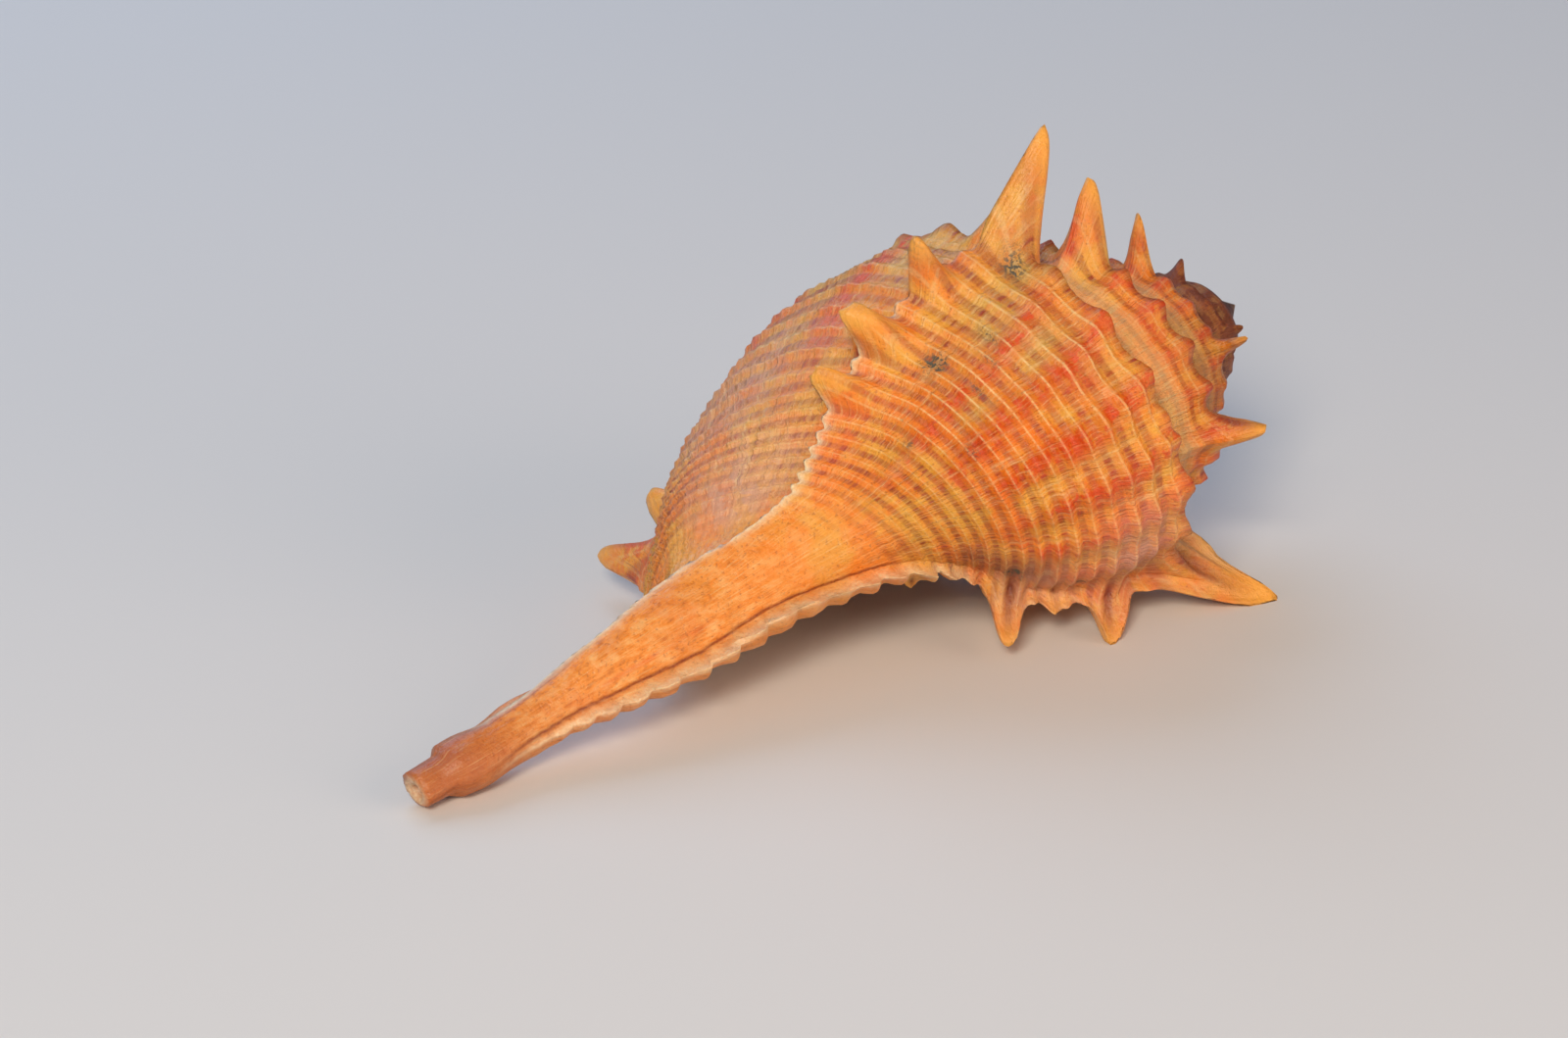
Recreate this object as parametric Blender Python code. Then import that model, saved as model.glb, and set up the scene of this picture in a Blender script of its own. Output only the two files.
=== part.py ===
"""Murex shell lying on its underside, canal tip towards -X and apex towards +X.

The shell is one closed body, grown as the real one is. A profile runs from the suture over the
shoulder and the base of the whorl to the canal tip. It turns about the shell's axis and grows by
a fixed ratio each turn, so each whorl starts on the one before. Ridges, knobs and grooved spines
are raised on that surface, and a hollow leads in from the outer lip.

Lengths are in millimetres and angles in degrees. The mesh is written in metres.

Growth is the angle back from the outer lip: 0 at the lip, -360 one turn earlier.
The angle about the axis is 0 on top, 90 on the side facing -Y and -90 on the side facing +Y.
"""

from collections import namedtuple

import bpy
import numpy as np

MM = 0.001

# The shell as it lies.
CANAL_TIP_TO_POLE = 81.5
AXIS_TILT = 11.6
TIP_AT = (-39.326, -4.735, 1.3)
LIP_ANGLE = -115.0

# Growth in one turn, along the axis and away from it.
AXIAL_GROWTH = 1.51
RADIAL_GROWTH = 1.42
TURNS = 5
APEX_FROM_POLE = 0.9

# The profile is measured at this growth, where the second varix stands on top.
MEASURED_AT = -116.0

# from_pole and radius place the station. share is how much of the growth it takes: all on the
# whorl, none on the canal. late_drop and late_swell are what the last third of a turn adds, where
# the whorl fills out towards the canal.
Station = namedtuple("Station", "from_pole radius share late_drop late_swell")
SEAM_FROM_POLE = 32.4
SEAM_RADIUS = 13.76
STATIONS = (
    Station(SEAM_FROM_POLE / AXIAL_GROWTH, SEAM_RADIUS / RADIAL_GROWTH, 1.0, 0.0, 0.0),
    Station(21.9, 11.6, 1.0, 0.0, 0.0),
    Station(22.7, 13.8, 1.0, 0.0, 0.0),
    Station(24.2, 15.3, 1.0, 0.0, 0.2),
    Station(26.6, 15.4, 1.0, 0.3, 0.8),
    Station(29.9, 14.8, 1.0, 1.9, 1.6),
    Station(34.8, 12.5, 1.0, 5.0, 1.5),
    Station(38.0, 10.3, 1.0, 7.4, 0.8),
    Station(42.5, 6.4, 1.0, 6.0, 1.8),
    Station(48.0, 4.0, 0.6, 5.0, 0.4),
    Station(57.5, 2.9, 0.2, 1.5, 0.1),
    Station(65.5, 2.3, 0.0, 0.0, 0.0),
    Station(71.5, 1.9, 0.0, 0.0, 0.0),
    Station(77.5, 1.85, 0.0, 0.0, 0.0),
    Station(CANAL_TIP_TO_POLE, 1.5, 0.0, 0.0, 0.0),
)
SHOULDER = 2.7
KEEL = 3.0
SEAM = 5.5
CANAL_TIP = 14.0
LATE_FROM = -140.0
LATE_TO = -50.0

# Rows along the profile, in stations: on the first whorls, from the suture to the seam where the
# next whorl sits, and below the seam. Rows 5, 6 and 7 carry the lower spines.
EARLY_ROWS = (0.0, 1.2, 2.2, SHOULDER, KEEL, 4.0, SEAM)
EARLY_BEFORE = -720.0
SPIRE_ROWS = (0.0, 0.8, 1.6, 2.2, 2.45, SHOULDER, KEEL, 3.4, 3.8, 4.2, 4.6, 4.88, 5.0, 5.13, SEAM)
WHORL_ROWS = (5.7, 5.87, 6.0, 6.14, 6.45, 6.78)
BASE_ROWS = (7.0, 7.2, 7.5, 7.8, 8.1, 8.45, 8.8, 9.2, 9.7, 10.3)
CANAL_ROWS = (11.0, 11.6, 12.3, 13.0, 13.35, 13.6, 14.0)
CLOSED_FROM = 11.0
ALL_ROWS = SPIRE_ROWS + WHORL_ROWS + BASE_ROWS + CANAL_ROWS

# Varices: the first is behind the outer lip, the second on top and the third underneath.
LIP_VARIX = -8.0
TOP_VARIX = -116.0
UNDER_VARIX = -252.0
NEAR_RIDGE = -185.0
SPIRE_VARIX = -215.0
FAR_RIDGE = -58.0

# Columns about each feature, in degrees of growth from it.
VARIX_COLUMNS = (-24.0, -14.0, -8.0, -4.6, -2.2, 0.0, 1.9, 4.0, 8.0, 16.0)
RIDGE_COLUMNS = (-8.0, -3.5, 0.0, 3.5, 8.0)
KNOBS = (-153.0, -171.6, -190.2, -208.8)
HALF_KNOB = 9.3
WIDEST_COLUMN = 13.0

# A varix rises slowly on its older side and drops at once on the side of growth.
# slant carries its lower end forward on the canal.
Varix = namedtuple("Varix", "growth height older_width newer_width first_row last_row slant")
SLANT_FROM_ROW = 7.2
SLANT_ROWS = 2.2
VARICES = (
    Varix(LIP_VARIX, 1.5, 4.0, 1.4, 0.6, 9.0, 0.0),
    Varix(TOP_VARIX, 1.5, 3.6, 0.9, 0.6, 11.0, 8.0),
    Varix(UNDER_VARIX, 1.5, 3.4, 0.9, 0.6, 11.0, 40.0),
    Varix(FAR_RIDGE, 0.4, 3.0, 3.0, 1.0, 6.5, 0.0),
    Varix(LIP_VARIX - 360, 0.8, 2.4, 0.8, 0.3, 7.0, 0.0),
    Varix(TOP_VARIX - 360, 0.8, 2.4, 0.8, 0.3, 7.0, 0.0),
    Varix(SPIRE_VARIX - 360, 0.8, 2.4, 0.8, 0.3, 7.0, 0.0),
)

# height is away from the axis, lean towards the apex, sweep round the axis to the older side.
# along is the half width round the whorl and across the half width along the profile.
Spine = namedtuple("Spine", "growth row height lean sweep along across")
SPINES = (
    Spine(TOP_VARIX, SHOULDER, 7.6, 4.8, 0.3, 3.4, 3.0),
    Spine(TOP_VARIX, 5.0, 3.9, -1.0, 0.3, 2.6, 2.1),
    Spine(TOP_VARIX, 6.0, 4.4, -2.4, -0.8, 2.8, 2.2),
    Spine(TOP_VARIX, 7.0, 2.4, -1.8, -0.5, 2.4, 1.8),
    Spine(UNDER_VARIX, SHOULDER, 6.9, 5.8, 0.4, 3.4, 3.2),
    Spine(UNDER_VARIX, 5.0, 3.1, -2.3, 0.2, 2.6, 2.3),
    Spine(UNDER_VARIX, 6.0, 0.8, -0.3, 0.0, 2.0, 1.6),
    Spine(UNDER_VARIX, 7.0, 3.2, -2.7, 0.0, 2.9, 2.3),
    Spine(UNDER_VARIX, 8.45, 1.0, -0.6, 0.0, 1.8, 1.4),
    Spine(LIP_VARIX, SHOULDER, 10.4, 1.3, -6.4, 3.8, 3.2),
    Spine(LIP_VARIX, 5.0, 4.2, -0.4, -1.0, 3.0, 2.6),
    Spine(LIP_VARIX, 6.0, 5.0, 0.6, 3.8, 4.0, 3.4),
    Spine(LIP_VARIX, 7.0, 7.8, 0.4, 1.4, 3.6, 3.0),
    Spine(FAR_RIDGE, KEEL, 1.0, 0.4, 0.0, 2.8, 2.2),
    Spine(LIP_VARIX - 360, SHOULDER, 3.1, 3.3, 0.0, 2.2, 2.0),
    Spine(TOP_VARIX - 360, SHOULDER, 5.6, 1.8, -1.0, 2.8, 2.6),
    Spine(SPIRE_VARIX - 360, SHOULDER, 4.0, 1.4, -1.6, 2.4, 2.2),
    Spine(LIP_VARIX - 720, SHOULDER, 2.4, 2.1, 0.0, 1.6, 1.5),
    Spine(TOP_VARIX - 720, SHOULDER, 4.5, 0.9, -0.7, 1.6, 1.5),
    Spine(NEAR_RIDGE - 720, SHOULDER, 3.2, 1.3, -0.6, 1.2, 1.1),
    Spine(TOP_VARIX - 1080, SHOULDER, 1.3, 1.0, 0.0, 1.2, 1.1),
    Spine(NEAR_RIDGE - 1080, SHOULDER, 1.0, 1.0, 0.0, 1.1, 1.0),
)
SPINE_SHARPNESS = 2.1
BLUNT_TIP = 1.5
BLUNTING = 5
GROOVE_DEPTH = 0.45
GROOVE_HALF_WIDTH = 0.7

# How a varix rises and fades, in rows, and how the next whorl covers the foot of a spine.
VARIX_SHARPNESS = 1.3
VARIX_RISE_ROWS = 1.2
VARIX_FADE_ROWS = 2.5
COVERED_ROWS = 0.6

# A keel runs round the shoulder. Knobs stand on it behind the tallest spine, each with a rib below.
KEEL_HEIGHT = 0.3
KEEL_HALF_ROWS = 0.35
KNOB_HEIGHT = 0.8
RIB_HEIGHT = 0.4
RIB_FIRST_ROW = 3.0
RIB_LAST_ROW = 7.6

# Raised cords wind round the whorl between these rows.
CORD_FIRST_ROW = 3.2
CORD_LAST_ROW = 8.2
CORD_FADE_ROWS = 0.8
CORD_HEIGHT = 0.17

# The inner wall of the aperture is hollowed where it meets the canal.
DISH_SHARE = 0.3
DISH_FROM = -290.0
DISH_FULL = -342.0
DISH_RISE_ROWS = 1.2
DISH_LAST_ROW = 9.0
DISH_FADE_ROWS = 2.0

# The hollow behind the outer lip: section growths, how far each closes up, and its ends by row.
WALL = 1.3
LIP_EDGE = 0.9
HOLLOW_SECTIONS = ((-0.6, 0.0), (-8.0, 0.0), (-22.0, 0.03), (-40.0, 0.1), (-60.0, 0.22), (-82.0, 0.45))
LIP_SECTIONS = 1
OUTER_HOLLOW_ROWS = (1.6, 8.6)
INNER_HOLLOW_ROWS = (SEAM + 0.25, 9.6)
INNER_LAG = 363.0

# Small steps along the profile, in rows, over which its slope and its length are measured.
SLOPE_STEP = 0.02
LENGTH_STEP = 0.25

SHELL_COLOUR = (0.74, 0.25, 0.045, 1.0)
SHELL_ROUGHNESS = 0.55


def clear_scene():
    """Remove everything that the file opened with."""
    for item in list(bpy.data.objects):
        bpy.data.objects.remove(item, do_unlink=True)


def smooth_step(value):
    """Rise from 0 at 0 to 1 at 1 with level ends."""
    t = np.clip(value, 0.0, 1.0)
    return t * t * (3.0 - 2.0 * t)


def station_table(growth):
    """Distance from the pole and radius of every station, one line for each growth."""
    growth = np.asarray(growth, float)[:, None]
    turns = (growth - MEASURED_AT) / 360.0
    share = np.array([station.share for station in STATIONS])
    late = smooth_step((growth - LATE_FROM) / (LATE_TO - LATE_FROM))
    from_pole = np.array([station.from_pole for station in STATIONS]) * AXIAL_GROWTH ** (turns * share)
    radius = np.array([station.radius for station in STATIONS]) * RADIAL_GROWTH ** (turns * share)
    from_pole = from_pole + late * np.array([station.late_drop for station in STATIONS])
    radius = radius + late * np.array([station.late_swell for station in STATIONS])
    return from_pole, radius


def curve_at(table, row):
    """Read a smooth curve through the stations, a line for each growth, at the given rows."""
    lines = np.arange(len(table))
    first = np.clip(np.floor(row).astype(int), 0, len(STATIONS) - 2)
    before = np.clip(first - 1, 0, None)
    after = np.clip(first + 2, None, len(STATIONS) - 1)
    t = row - first
    p0, p1 = table[lines, before], table[lines, first]
    p2, p3 = table[lines, first + 1], table[lines, after]
    slope1 = 0.5 * (p2 - p0)
    slope2 = 0.5 * (p3 - p1)
    t2, t3 = t * t, t * t * t
    return (
        (2 * t3 - 3 * t2 + 1) * p1
        + (t3 - 2 * t2 + t) * slope1
        + (3 * t2 - 2 * t3) * p2
        + (t3 - t2) * slope2
    )


def bare_profile(growth, row):
    """Distance from the pole and radius of the smooth whorl."""
    from_pole, radius = station_table(growth)
    return curve_at(from_pole, row), curve_at(radius, row)


def outward(growth, row):
    """Direction straight out of the smooth whorl: its parts along the axis and away from it."""
    ahead = bare_profile(growth, np.minimum(row + SLOPE_STEP, CANAL_TIP))
    behind = bare_profile(growth, np.maximum(row - SLOPE_STEP, 0.0))
    run, rise = ahead[0] - behind[0], ahead[1] - behind[1]
    length = np.hypot(run, rise)
    return -rise / length, run / length


def dish(growth, row):
    """Share of the radius that is hollowed from the inner wall of the aperture."""
    round_whorl = smooth_step((DISH_FROM - growth) / (DISH_FROM - DISH_FULL))
    below_seam = smooth_step((row - SEAM) / DISH_RISE_ROWS)
    above_canal = smooth_step((DISH_LAST_ROW - row) / DISH_FADE_ROWS)
    return DISH_SHARE * round_whorl * below_seam * above_canal


def scale_at(growth):
    """Size of the whorl, where the second varix has 1."""
    return RADIAL_GROWTH ** ((growth - MEASURED_AT) / 360.0)


def cords(row):
    """Height of the spiral cords."""
    above = smooth_step((row - CORD_FIRST_ROW) / CORD_FADE_ROWS)
    inside = above * smooth_step((CORD_LAST_ROW - row) / CORD_FADE_ROWS)
    index = np.interp(row, ALL_ROWS, np.arange(len(ALL_ROWS)))
    return CORD_HEIGHT * inside * np.cos(np.pi * index)


def keel_and_ribs(growth, row):
    """Height of the shoulder keel, of its knobs and of the ribs below them."""
    keel = np.exp(-(((row - KEEL) / KEEL_HALF_ROWS) ** 2))
    below = smooth_step((row - RIB_FIRST_ROW) / COVERED_ROWS) * smooth_step(RIB_LAST_ROW - row)
    total = KEEL_HEIGHT * keel * scale_at(growth)
    for knob in KNOBS:
        near = np.clip(1.0 - np.abs(growth - knob) / HALF_KNOB, 0.0, 1.0)
        total = total + near * (KNOB_HEIGHT * keel + RIB_HEIGHT * below)
    return total


def varix_ridges(growth, row, radius):
    """Height of the varices and of the low ridge on the far side."""
    total = np.zeros_like(radius)
    for varix in VARICES:
        crest = varix.growth + varix.slant * smooth_step((row - SLANT_FROM_ROW) / SLANT_ROWS)
        along = np.radians(growth - crest) * radius
        width = np.where(along < 0, varix.older_width, varix.newer_width)
        rise = np.clip(1.0 - np.abs(along) / width, 0.0, 1.0) ** VARIX_SHARPNESS
        above = smooth_step((row - varix.first_row) / VARIX_RISE_ROWS)
        span = above * smooth_step((varix.last_row - row) / VARIX_FADE_ROWS)
        total = np.maximum(total, varix.height * rise * span)
    return total


def spine_weight(spine, growth, row):
    """How much of a spine's height each point takes: 1 at its tip and 0 at its foot."""
    at = np.array([spine.growth])
    near = bare_profile(at, np.array([spine.row - LENGTH_STEP]))
    far = bare_profile(at, np.array([spine.row + LENGTH_STEP]))
    row_length = np.hypot(far[0][0] - near[0][0], far[1][0] - near[1][0]) / (2.0 * LENGTH_STEP)
    reach = 0.5 * (near[1][0] + far[1][0])
    along = np.radians(growth - spine.growth) * reach
    across = (row - spine.row) * row_length
    distance = np.hypot(along / spine.along, across / spine.across)
    weight = np.clip(1.0 - distance, 0.0, 1.0) ** SPINE_SHARPNESS
    weight = weight * BLUNT_TIP / (1.0 + (weight * BLUNT_TIP) ** BLUNTING) ** (1.0 / BLUNTING)
    groove = np.exp(-((across / GROOVE_HALF_WIDTH) ** 2)) * smooth_step(along)
    covered = np.where(growth < -360.0, smooth_step((SEAM - row) / COVERED_ROWS), 1.0)
    return weight * covered * (1.0 - GROOVE_DEPTH * groove)


def shell_points(growth, row):
    """Points of the outer surface in millimetres, for matching lists of growth and row."""
    growth = np.asarray(growth, float)
    row = np.asarray(row, float)
    from_pole, radius = bare_profile(growth, row)
    radius = radius * (1.0 - dish(growth, row))
    raised = varix_ridges(growth, row, radius) + keel_and_ribs(growth, row) + cords(row)
    out_along, out_away = outward(growth, row)
    from_pole = from_pole + raised * out_along
    radius = radius + raised * out_away
    turned = np.zeros_like(radius)
    for spine in SPINES:
        weight = spine_weight(spine, growth, row)
        radius = radius + weight * spine.height
        from_pole = from_pole - weight * spine.lean
        turned = turned + weight * spine.sweep
    angle = LIP_ANGLE - growth + np.degrees(turned / np.maximum(radius, 1.0))
    return place(from_pole, radius, angle)


def place(from_pole, radius, angle):
    """Turn distance from the pole, radius and angle into a position, with no point below the floor."""
    tilt = np.radians(AXIS_TILT)
    turn = np.radians(angle)
    along = CANAL_TIP_TO_POLE - from_pole
    up = radius * np.cos(turn)
    side = radius * np.sin(turn)
    x = TIP_AT[0] + along * np.cos(tilt) - up * np.sin(tilt)
    y = TIP_AT[1] - side
    z = TIP_AT[2] + along * np.sin(tilt) + up * np.cos(tilt)
    return np.stack([x, y, np.maximum(z, 0.0)], axis=-1)


def whorl_columns():
    """Growths of the columns of one turn, from -360 to 0."""
    exact = {-360.0, 0.0}
    for growth in (LIP_VARIX, TOP_VARIX, UNDER_VARIX):
        exact.update(growth + offset for offset in VARIX_COLUMNS)
    for growth in (SPIRE_VARIX, FAR_RIDGE):
        exact.update(growth + offset for offset in RIDGE_COLUMNS)
    for growth in KNOBS:
        exact.update((growth, growth + HALF_KNOB))
    kept = sorted(value for value in exact if -360.0 <= value <= 0.0)
    columns = [kept[0]]
    for value in kept[1:]:
        start = columns[-1]
        parts = int(np.ceil((value - start) / WIDEST_COLUMN))
        columns.extend(start + (value - start) * step / parts for step in range(1, parts + 1))
    return columns


class ShellMesh:
    """Collects the points and faces of the shell."""

    def __init__(self):
        self.points = []
        self.faces = []

    def add(self, points):
        """Add points and return their numbers."""
        first = len(self.points)
        self.points.extend(np.atleast_2d(points).tolist())
        return list(range(first, len(self.points)))

    def strip(self, left, right):
        """Join two lists of points of the same length with four-sided faces."""
        for i in range(len(left) - 1):
            corners = [left[i], right[i], right[i + 1], left[i + 1]]
            distinct = list(dict.fromkeys(corners))
            if len(distinct) > 2:
                self.faces.append(distinct)

    def zip_up(self, left, right):
        """Join two lists of points of different lengths with triangles."""
        i, j = 0, 0
        while i < len(left) - 1 or j < len(right) - 1:
            left_share = (i + 1) / (len(left) - 1)
            right_share = (j + 1) / (len(right) - 1)
            if i < len(left) - 1 and (left_share <= right_share or j == len(right) - 1):
                corners = {left[i]: 0, right[j]: 0, left[i + 1]: 0}
                i += 1
            else:
                corners = {left[i]: 0, right[j]: 0, right[j + 1]: 0}
                j += 1
            if len(corners) == 3:
                self.faces.append(list(corners))


def rows_at(growth):
    """Rows of the column at this growth."""
    if growth >= -360.0:
        return ALL_ROWS
    return SPIRE_ROWS if growth > EARLY_BEFORE else EARLY_ROWS


def spiral_columns(mesh):
    """Lay the outer surface and return each column's point numbers, the oldest column first."""
    turn = whorl_columns()
    closed = ALL_ROWS.index(CLOSED_FROM)
    columns = {}
    growths = []
    for back in range(TURNS - 1, -1, -1):
        for growth in turn[0 if back == TURNS - 1 else 1:]:
            growths.append(round(growth - 360.0 * back, 3))
    for growth in growths:
        rows = rows_at(growth)
        numbers = mesh.add(shell_points(np.full(len(rows), growth), rows))
        before = columns.get(round(growth - 360.0, 3))
        if before is not None:
            numbers[0] = before[rows_at(growth - 360.0).index(SEAM)]
        if growth == 0.0:
            numbers[closed:] = columns[-360.0][closed:]
        columns[growth] = numbers
    return growths, columns


def lay_outside(mesh):
    """Build the whorls, the apex and the canal tip. Return the lip's column and the inner one."""
    growths, columns = spiral_columns(mesh)
    for older, newer in zip(growths, growths[1:]):
        count = rows_at(newer).index(SEAM) + 1 if newer <= -360.0 or older < -360.0 else len(ALL_ROWS)
        if rows_at(older)[:2] == rows_at(newer)[:2]:
            mesh.strip(columns[newer][:count], columns[older][:count])
        else:
            mesh.zip_up(columns[newer][:count], columns[older])
    close_apex(mesh, growths, columns)
    close_canal_tip(mesh, growths, columns)
    return columns[0.0], columns[-360.0]


def close_apex(mesh, growths, columns):
    """Cap the first whorl with a blunt point."""
    first = growths[0]
    ring = [columns[growth][0] for growth in growths if growth <= first + 360.0]
    loop = ring + columns[first][::-1][1:]
    top = mesh.add(place(np.array([APEX_FROM_POLE]), np.array([0.0]), np.array([0.0])))[0]
    for here, there in zip(loop, loop[1:]):
        mesh.faces.append([here, there, top])


def close_canal_tip(mesh, growths, columns):
    """Cap the broken end of the canal."""
    ring = [columns[growth][-1] for growth in growths if growth >= -360.0]
    end = mesh.add(place(np.array([CANAL_TIP_TO_POLE]), np.array([0.0]), np.array([0.0])))[0]
    for here, there in zip(ring, ring[1:]):
        mesh.faces.append([there, here, end])


def inner_face_of_lip(growth, rows, wall):
    """Points on the inside of the outer wall."""
    growths = np.full(len(rows), growth)
    from_pole, radius = bare_profile(growths, rows)
    out_along, out_away = outward(growths, rows)
    return np.stack([from_pole - wall * out_along, radius - wall * out_away], axis=-1)


def inner_wall(growth, rows):
    """Points on the wall of the hollow nearest the axis."""
    growths = np.full(len(rows), growth)
    from_pole, radius = bare_profile(growths, rows)
    return np.stack([from_pole, radius * (1.0 - dish(growths, rows))], axis=-1)


def spread(line, count):
    """The same line of points, read at another number of even places."""
    places = np.linspace(0.0, len(line) - 1.0, count)
    return np.stack([np.interp(places, np.arange(len(line)), line[:, k]) for k in (0, 1)], axis=-1)


def hollow_section(growth, closing, wall, outer_count, inner_count):
    """One section of the hollow: the outer side and the inner side, with shared end points."""
    outer_rows = np.linspace(*OUTER_HOLLOW_ROWS, outer_count)
    inner_rows = np.linspace(*INNER_HOLLOW_ROWS, inner_count)
    outer = inner_face_of_lip(growth, outer_rows, wall)
    inner = inner_wall(growth - INNER_LAG, inner_rows)
    shrunk_outer = outer + 0.5 * closing * (spread(inner, outer_count) - outer)
    shrunk_inner = inner + 0.5 * closing * (spread(outer, inner_count) - inner)
    top = 0.5 * (shrunk_outer[0] + shrunk_inner[0])
    bottom = 0.5 * (shrunk_outer[-1] + shrunk_inner[-1])
    shrunk_outer[0] = shrunk_inner[0] = top
    shrunk_outer[-1] = shrunk_inner[-1] = bottom
    angle = LIP_ANGLE - growth
    outer_points = place(shrunk_outer[:, 0], shrunk_outer[:, 1], np.full(outer_count, angle))
    inner_points = place(shrunk_inner[:, 0], shrunk_inner[:, 1], np.full(inner_count, angle))
    return outer_points, inner_points


def lay_hollow(mesh, lip, inner):
    """Lead the surface from the lip into the hollow and close it at its inner end."""
    closed = ALL_ROWS.index(CLOSED_FROM)
    outer_side = lip[: closed + 1]
    inner_side = inner[ALL_ROWS.index(SEAM): closed + 1]
    for number, (growth, closing) in enumerate(HOLLOW_SECTIONS):
        wall = LIP_EDGE if number < LIP_SECTIONS else WALL
        outer_points, inner_points = hollow_section(growth, closing, wall, len(outer_side), len(inner_side))
        next_outer = mesh.add(outer_points)
        next_inner = mesh.add(inner_points)
        next_inner[0], next_inner[-1] = next_outer[0], next_outer[-1]
        mesh.strip(next_outer, outer_side)
        mesh.strip(inner_side, next_inner)
        outer_side, inner_side = next_outer, next_inner
    mesh.zip_up(inner_side, outer_side)


def shell_material():
    """Orange shell, a little glossy."""
    material = bpy.data.materials.new("shell")
    material.use_nodes = True
    shader = material.node_tree.nodes["Principled BSDF"]
    shader.inputs["Base Color"].default_value = SHELL_COLOUR
    shader.inputs["Roughness"].default_value = SHELL_ROUGHNESS
    shader.inputs["Metallic"].default_value = 0.0
    return material


def build_shell():
    """Build the whole shell as one object."""
    shell = ShellMesh()
    lip, inner = lay_outside(shell)
    lay_hollow(shell, lip, inner)
    used = sorted({number for face in shell.faces for number in face})
    renumbered = {number: index for index, number in enumerate(used)}
    points = [tuple(MM * value for value in shell.points[number]) for number in used]
    faces = [[renumbered[number] for number in reversed(face)] for face in shell.faces]
    mesh = bpy.data.meshes.new("murex_shell")
    mesh.from_pydata(points, [], faces)
    mesh.materials.append(shell_material())
    mesh.polygons.foreach_set("use_smooth", [True] * len(mesh.polygons))
    mesh.update()
    item = bpy.data.objects.new("murex_shell", mesh)
    bpy.context.collection.objects.link(item)
    return item


clear_scene()
build_shell()
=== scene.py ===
"""Murex shell: its fine surface, its colours and a plain studio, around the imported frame.

Lengths are in millimetres and angles in degrees until a mesh is written, which is in metres.
Growth is the angle back from the outer lip: 0 at the lip and -360 one turn earlier. A row is a
place along the whorl's profile, counted in stations from the suture to the canal tip.
"""

import logging
import math
from dataclasses import dataclass, field
from enum import Enum

import bpy
import numpy as np
from mathutils import Matrix, Vector


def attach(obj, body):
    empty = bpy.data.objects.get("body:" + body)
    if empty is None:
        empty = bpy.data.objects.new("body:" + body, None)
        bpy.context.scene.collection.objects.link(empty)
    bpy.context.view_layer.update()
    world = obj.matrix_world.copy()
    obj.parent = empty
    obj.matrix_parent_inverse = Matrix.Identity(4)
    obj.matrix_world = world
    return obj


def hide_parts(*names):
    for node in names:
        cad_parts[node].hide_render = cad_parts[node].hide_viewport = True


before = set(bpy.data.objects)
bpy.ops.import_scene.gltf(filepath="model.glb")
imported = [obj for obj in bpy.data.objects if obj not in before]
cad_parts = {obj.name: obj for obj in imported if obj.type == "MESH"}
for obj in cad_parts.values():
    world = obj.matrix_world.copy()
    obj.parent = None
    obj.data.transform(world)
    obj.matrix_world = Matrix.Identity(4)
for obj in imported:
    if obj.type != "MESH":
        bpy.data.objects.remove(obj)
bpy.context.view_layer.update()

log = logging.getLogger("murex")

Array = np.ndarray
Tree = bpy.types.NodeTree
Socket = bpy.types.NodeSocket

MM = 0.001
FULL_TURN = 360.0
TWO_PI = 2.0 * math.pi
SHELL_NODE = "murex_shell"

# Rows that the shapes go by.
SHOULDER = 2.7
KEEL = 2.95
SEAM = 5.5
CANAL_START = 9.0
CANAL_CLOSED = 11.0
CANAL_TIP = 14.0

# What each point of the mesh carries for the finishes.
# The hollow mark is painted shade: the crease at a varix's foot, the groove of each spine and the deep bore
# of the canal.
SURFACE_MARKS = ("tip", "hollow", "pale", "inside")
GRID_NAMES = ("along", "phase", "length")
MARK_NAMES = SURFACE_MARKS + ("red", "mauve", "dirt", "ochre", "dark", "cream", "apex", "canal",
                              "corded", "ribbed", "foot", "strip")

# Sockets of Blender's Mix node when it mixes colours.
MIX_FACTOR, MIX_A, MIX_B, MIX_RESULT = 0, 6, 7, 2


def smooth_step(value: Array) -> Array:
    """Rise from 0 at 0 to 1 at 1 with level ends."""
    t = np.clip(value, 0.0, 1.0)
    return t * t * (3.0 - 2.0 * t)


def ramp(value: Array, start: float, end: float) -> Array:
    """Rise smoothly from 0 at start to 1 at end, also where end is the lower of the two."""
    return smooth_step((value - start) / (end - start))


def bell(distance: Array, width: float | Array) -> Array:
    """A smooth bump: 1 at distance 0, fading out at about twice the width."""
    return np.exp(-((distance / width) ** 2))


def noise(x: Array, y: Array, seed: float) -> Array:
    """Smooth random relief on a unit grid.

    Args:
        x: First coordinate, in grid cells.
        y: Second coordinate, in grid cells.
        seed: Picks one of many reliefs.

    Returns:
        Values from -1 to 1.
    """

    def corner(i: Array, j: Array) -> Array:
        """A fixed random value for one corner of the grid."""
        value = np.sin(i * 127.1 + j * 311.7 + seed * 74.7) * 43758.5453
        return 2.0 * (value - np.floor(value)) - 1.0

    i, j = np.floor(x), np.floor(y)
    u, v = smooth_step(x - i), smooth_step(y - j)
    low = corner(i, j) * (1 - u) + corner(i + 1, j) * u
    high = corner(i, j + 1) * (1 - u) + corner(i + 1, j + 1) * u
    return low * (1 - v) + high * v


def wander(x: Array, seed: float) -> Array:
    """Smooth random values along one line, from -1 to 1."""
    return noise(x, np.zeros_like(x), seed)


def linear(code: str) -> tuple[float, float, float, float]:
    """Turn an sRGB hex colour into the linear colour that Blender takes.

    Args:
        code: A colour such as "#E08A3C".

    Returns:
        Linear red, green and blue, and alpha 1.
    """
    parts = [int(code[i : i + 2], 16) / 255.0 for i in (1, 3, 5)]
    levels = [p / 12.92 if p <= 0.04045 else ((p + 0.055) / 1.055) ** 2.4 for p in parts]
    return (levels[0], levels[1], levels[2], 1.0)


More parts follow.
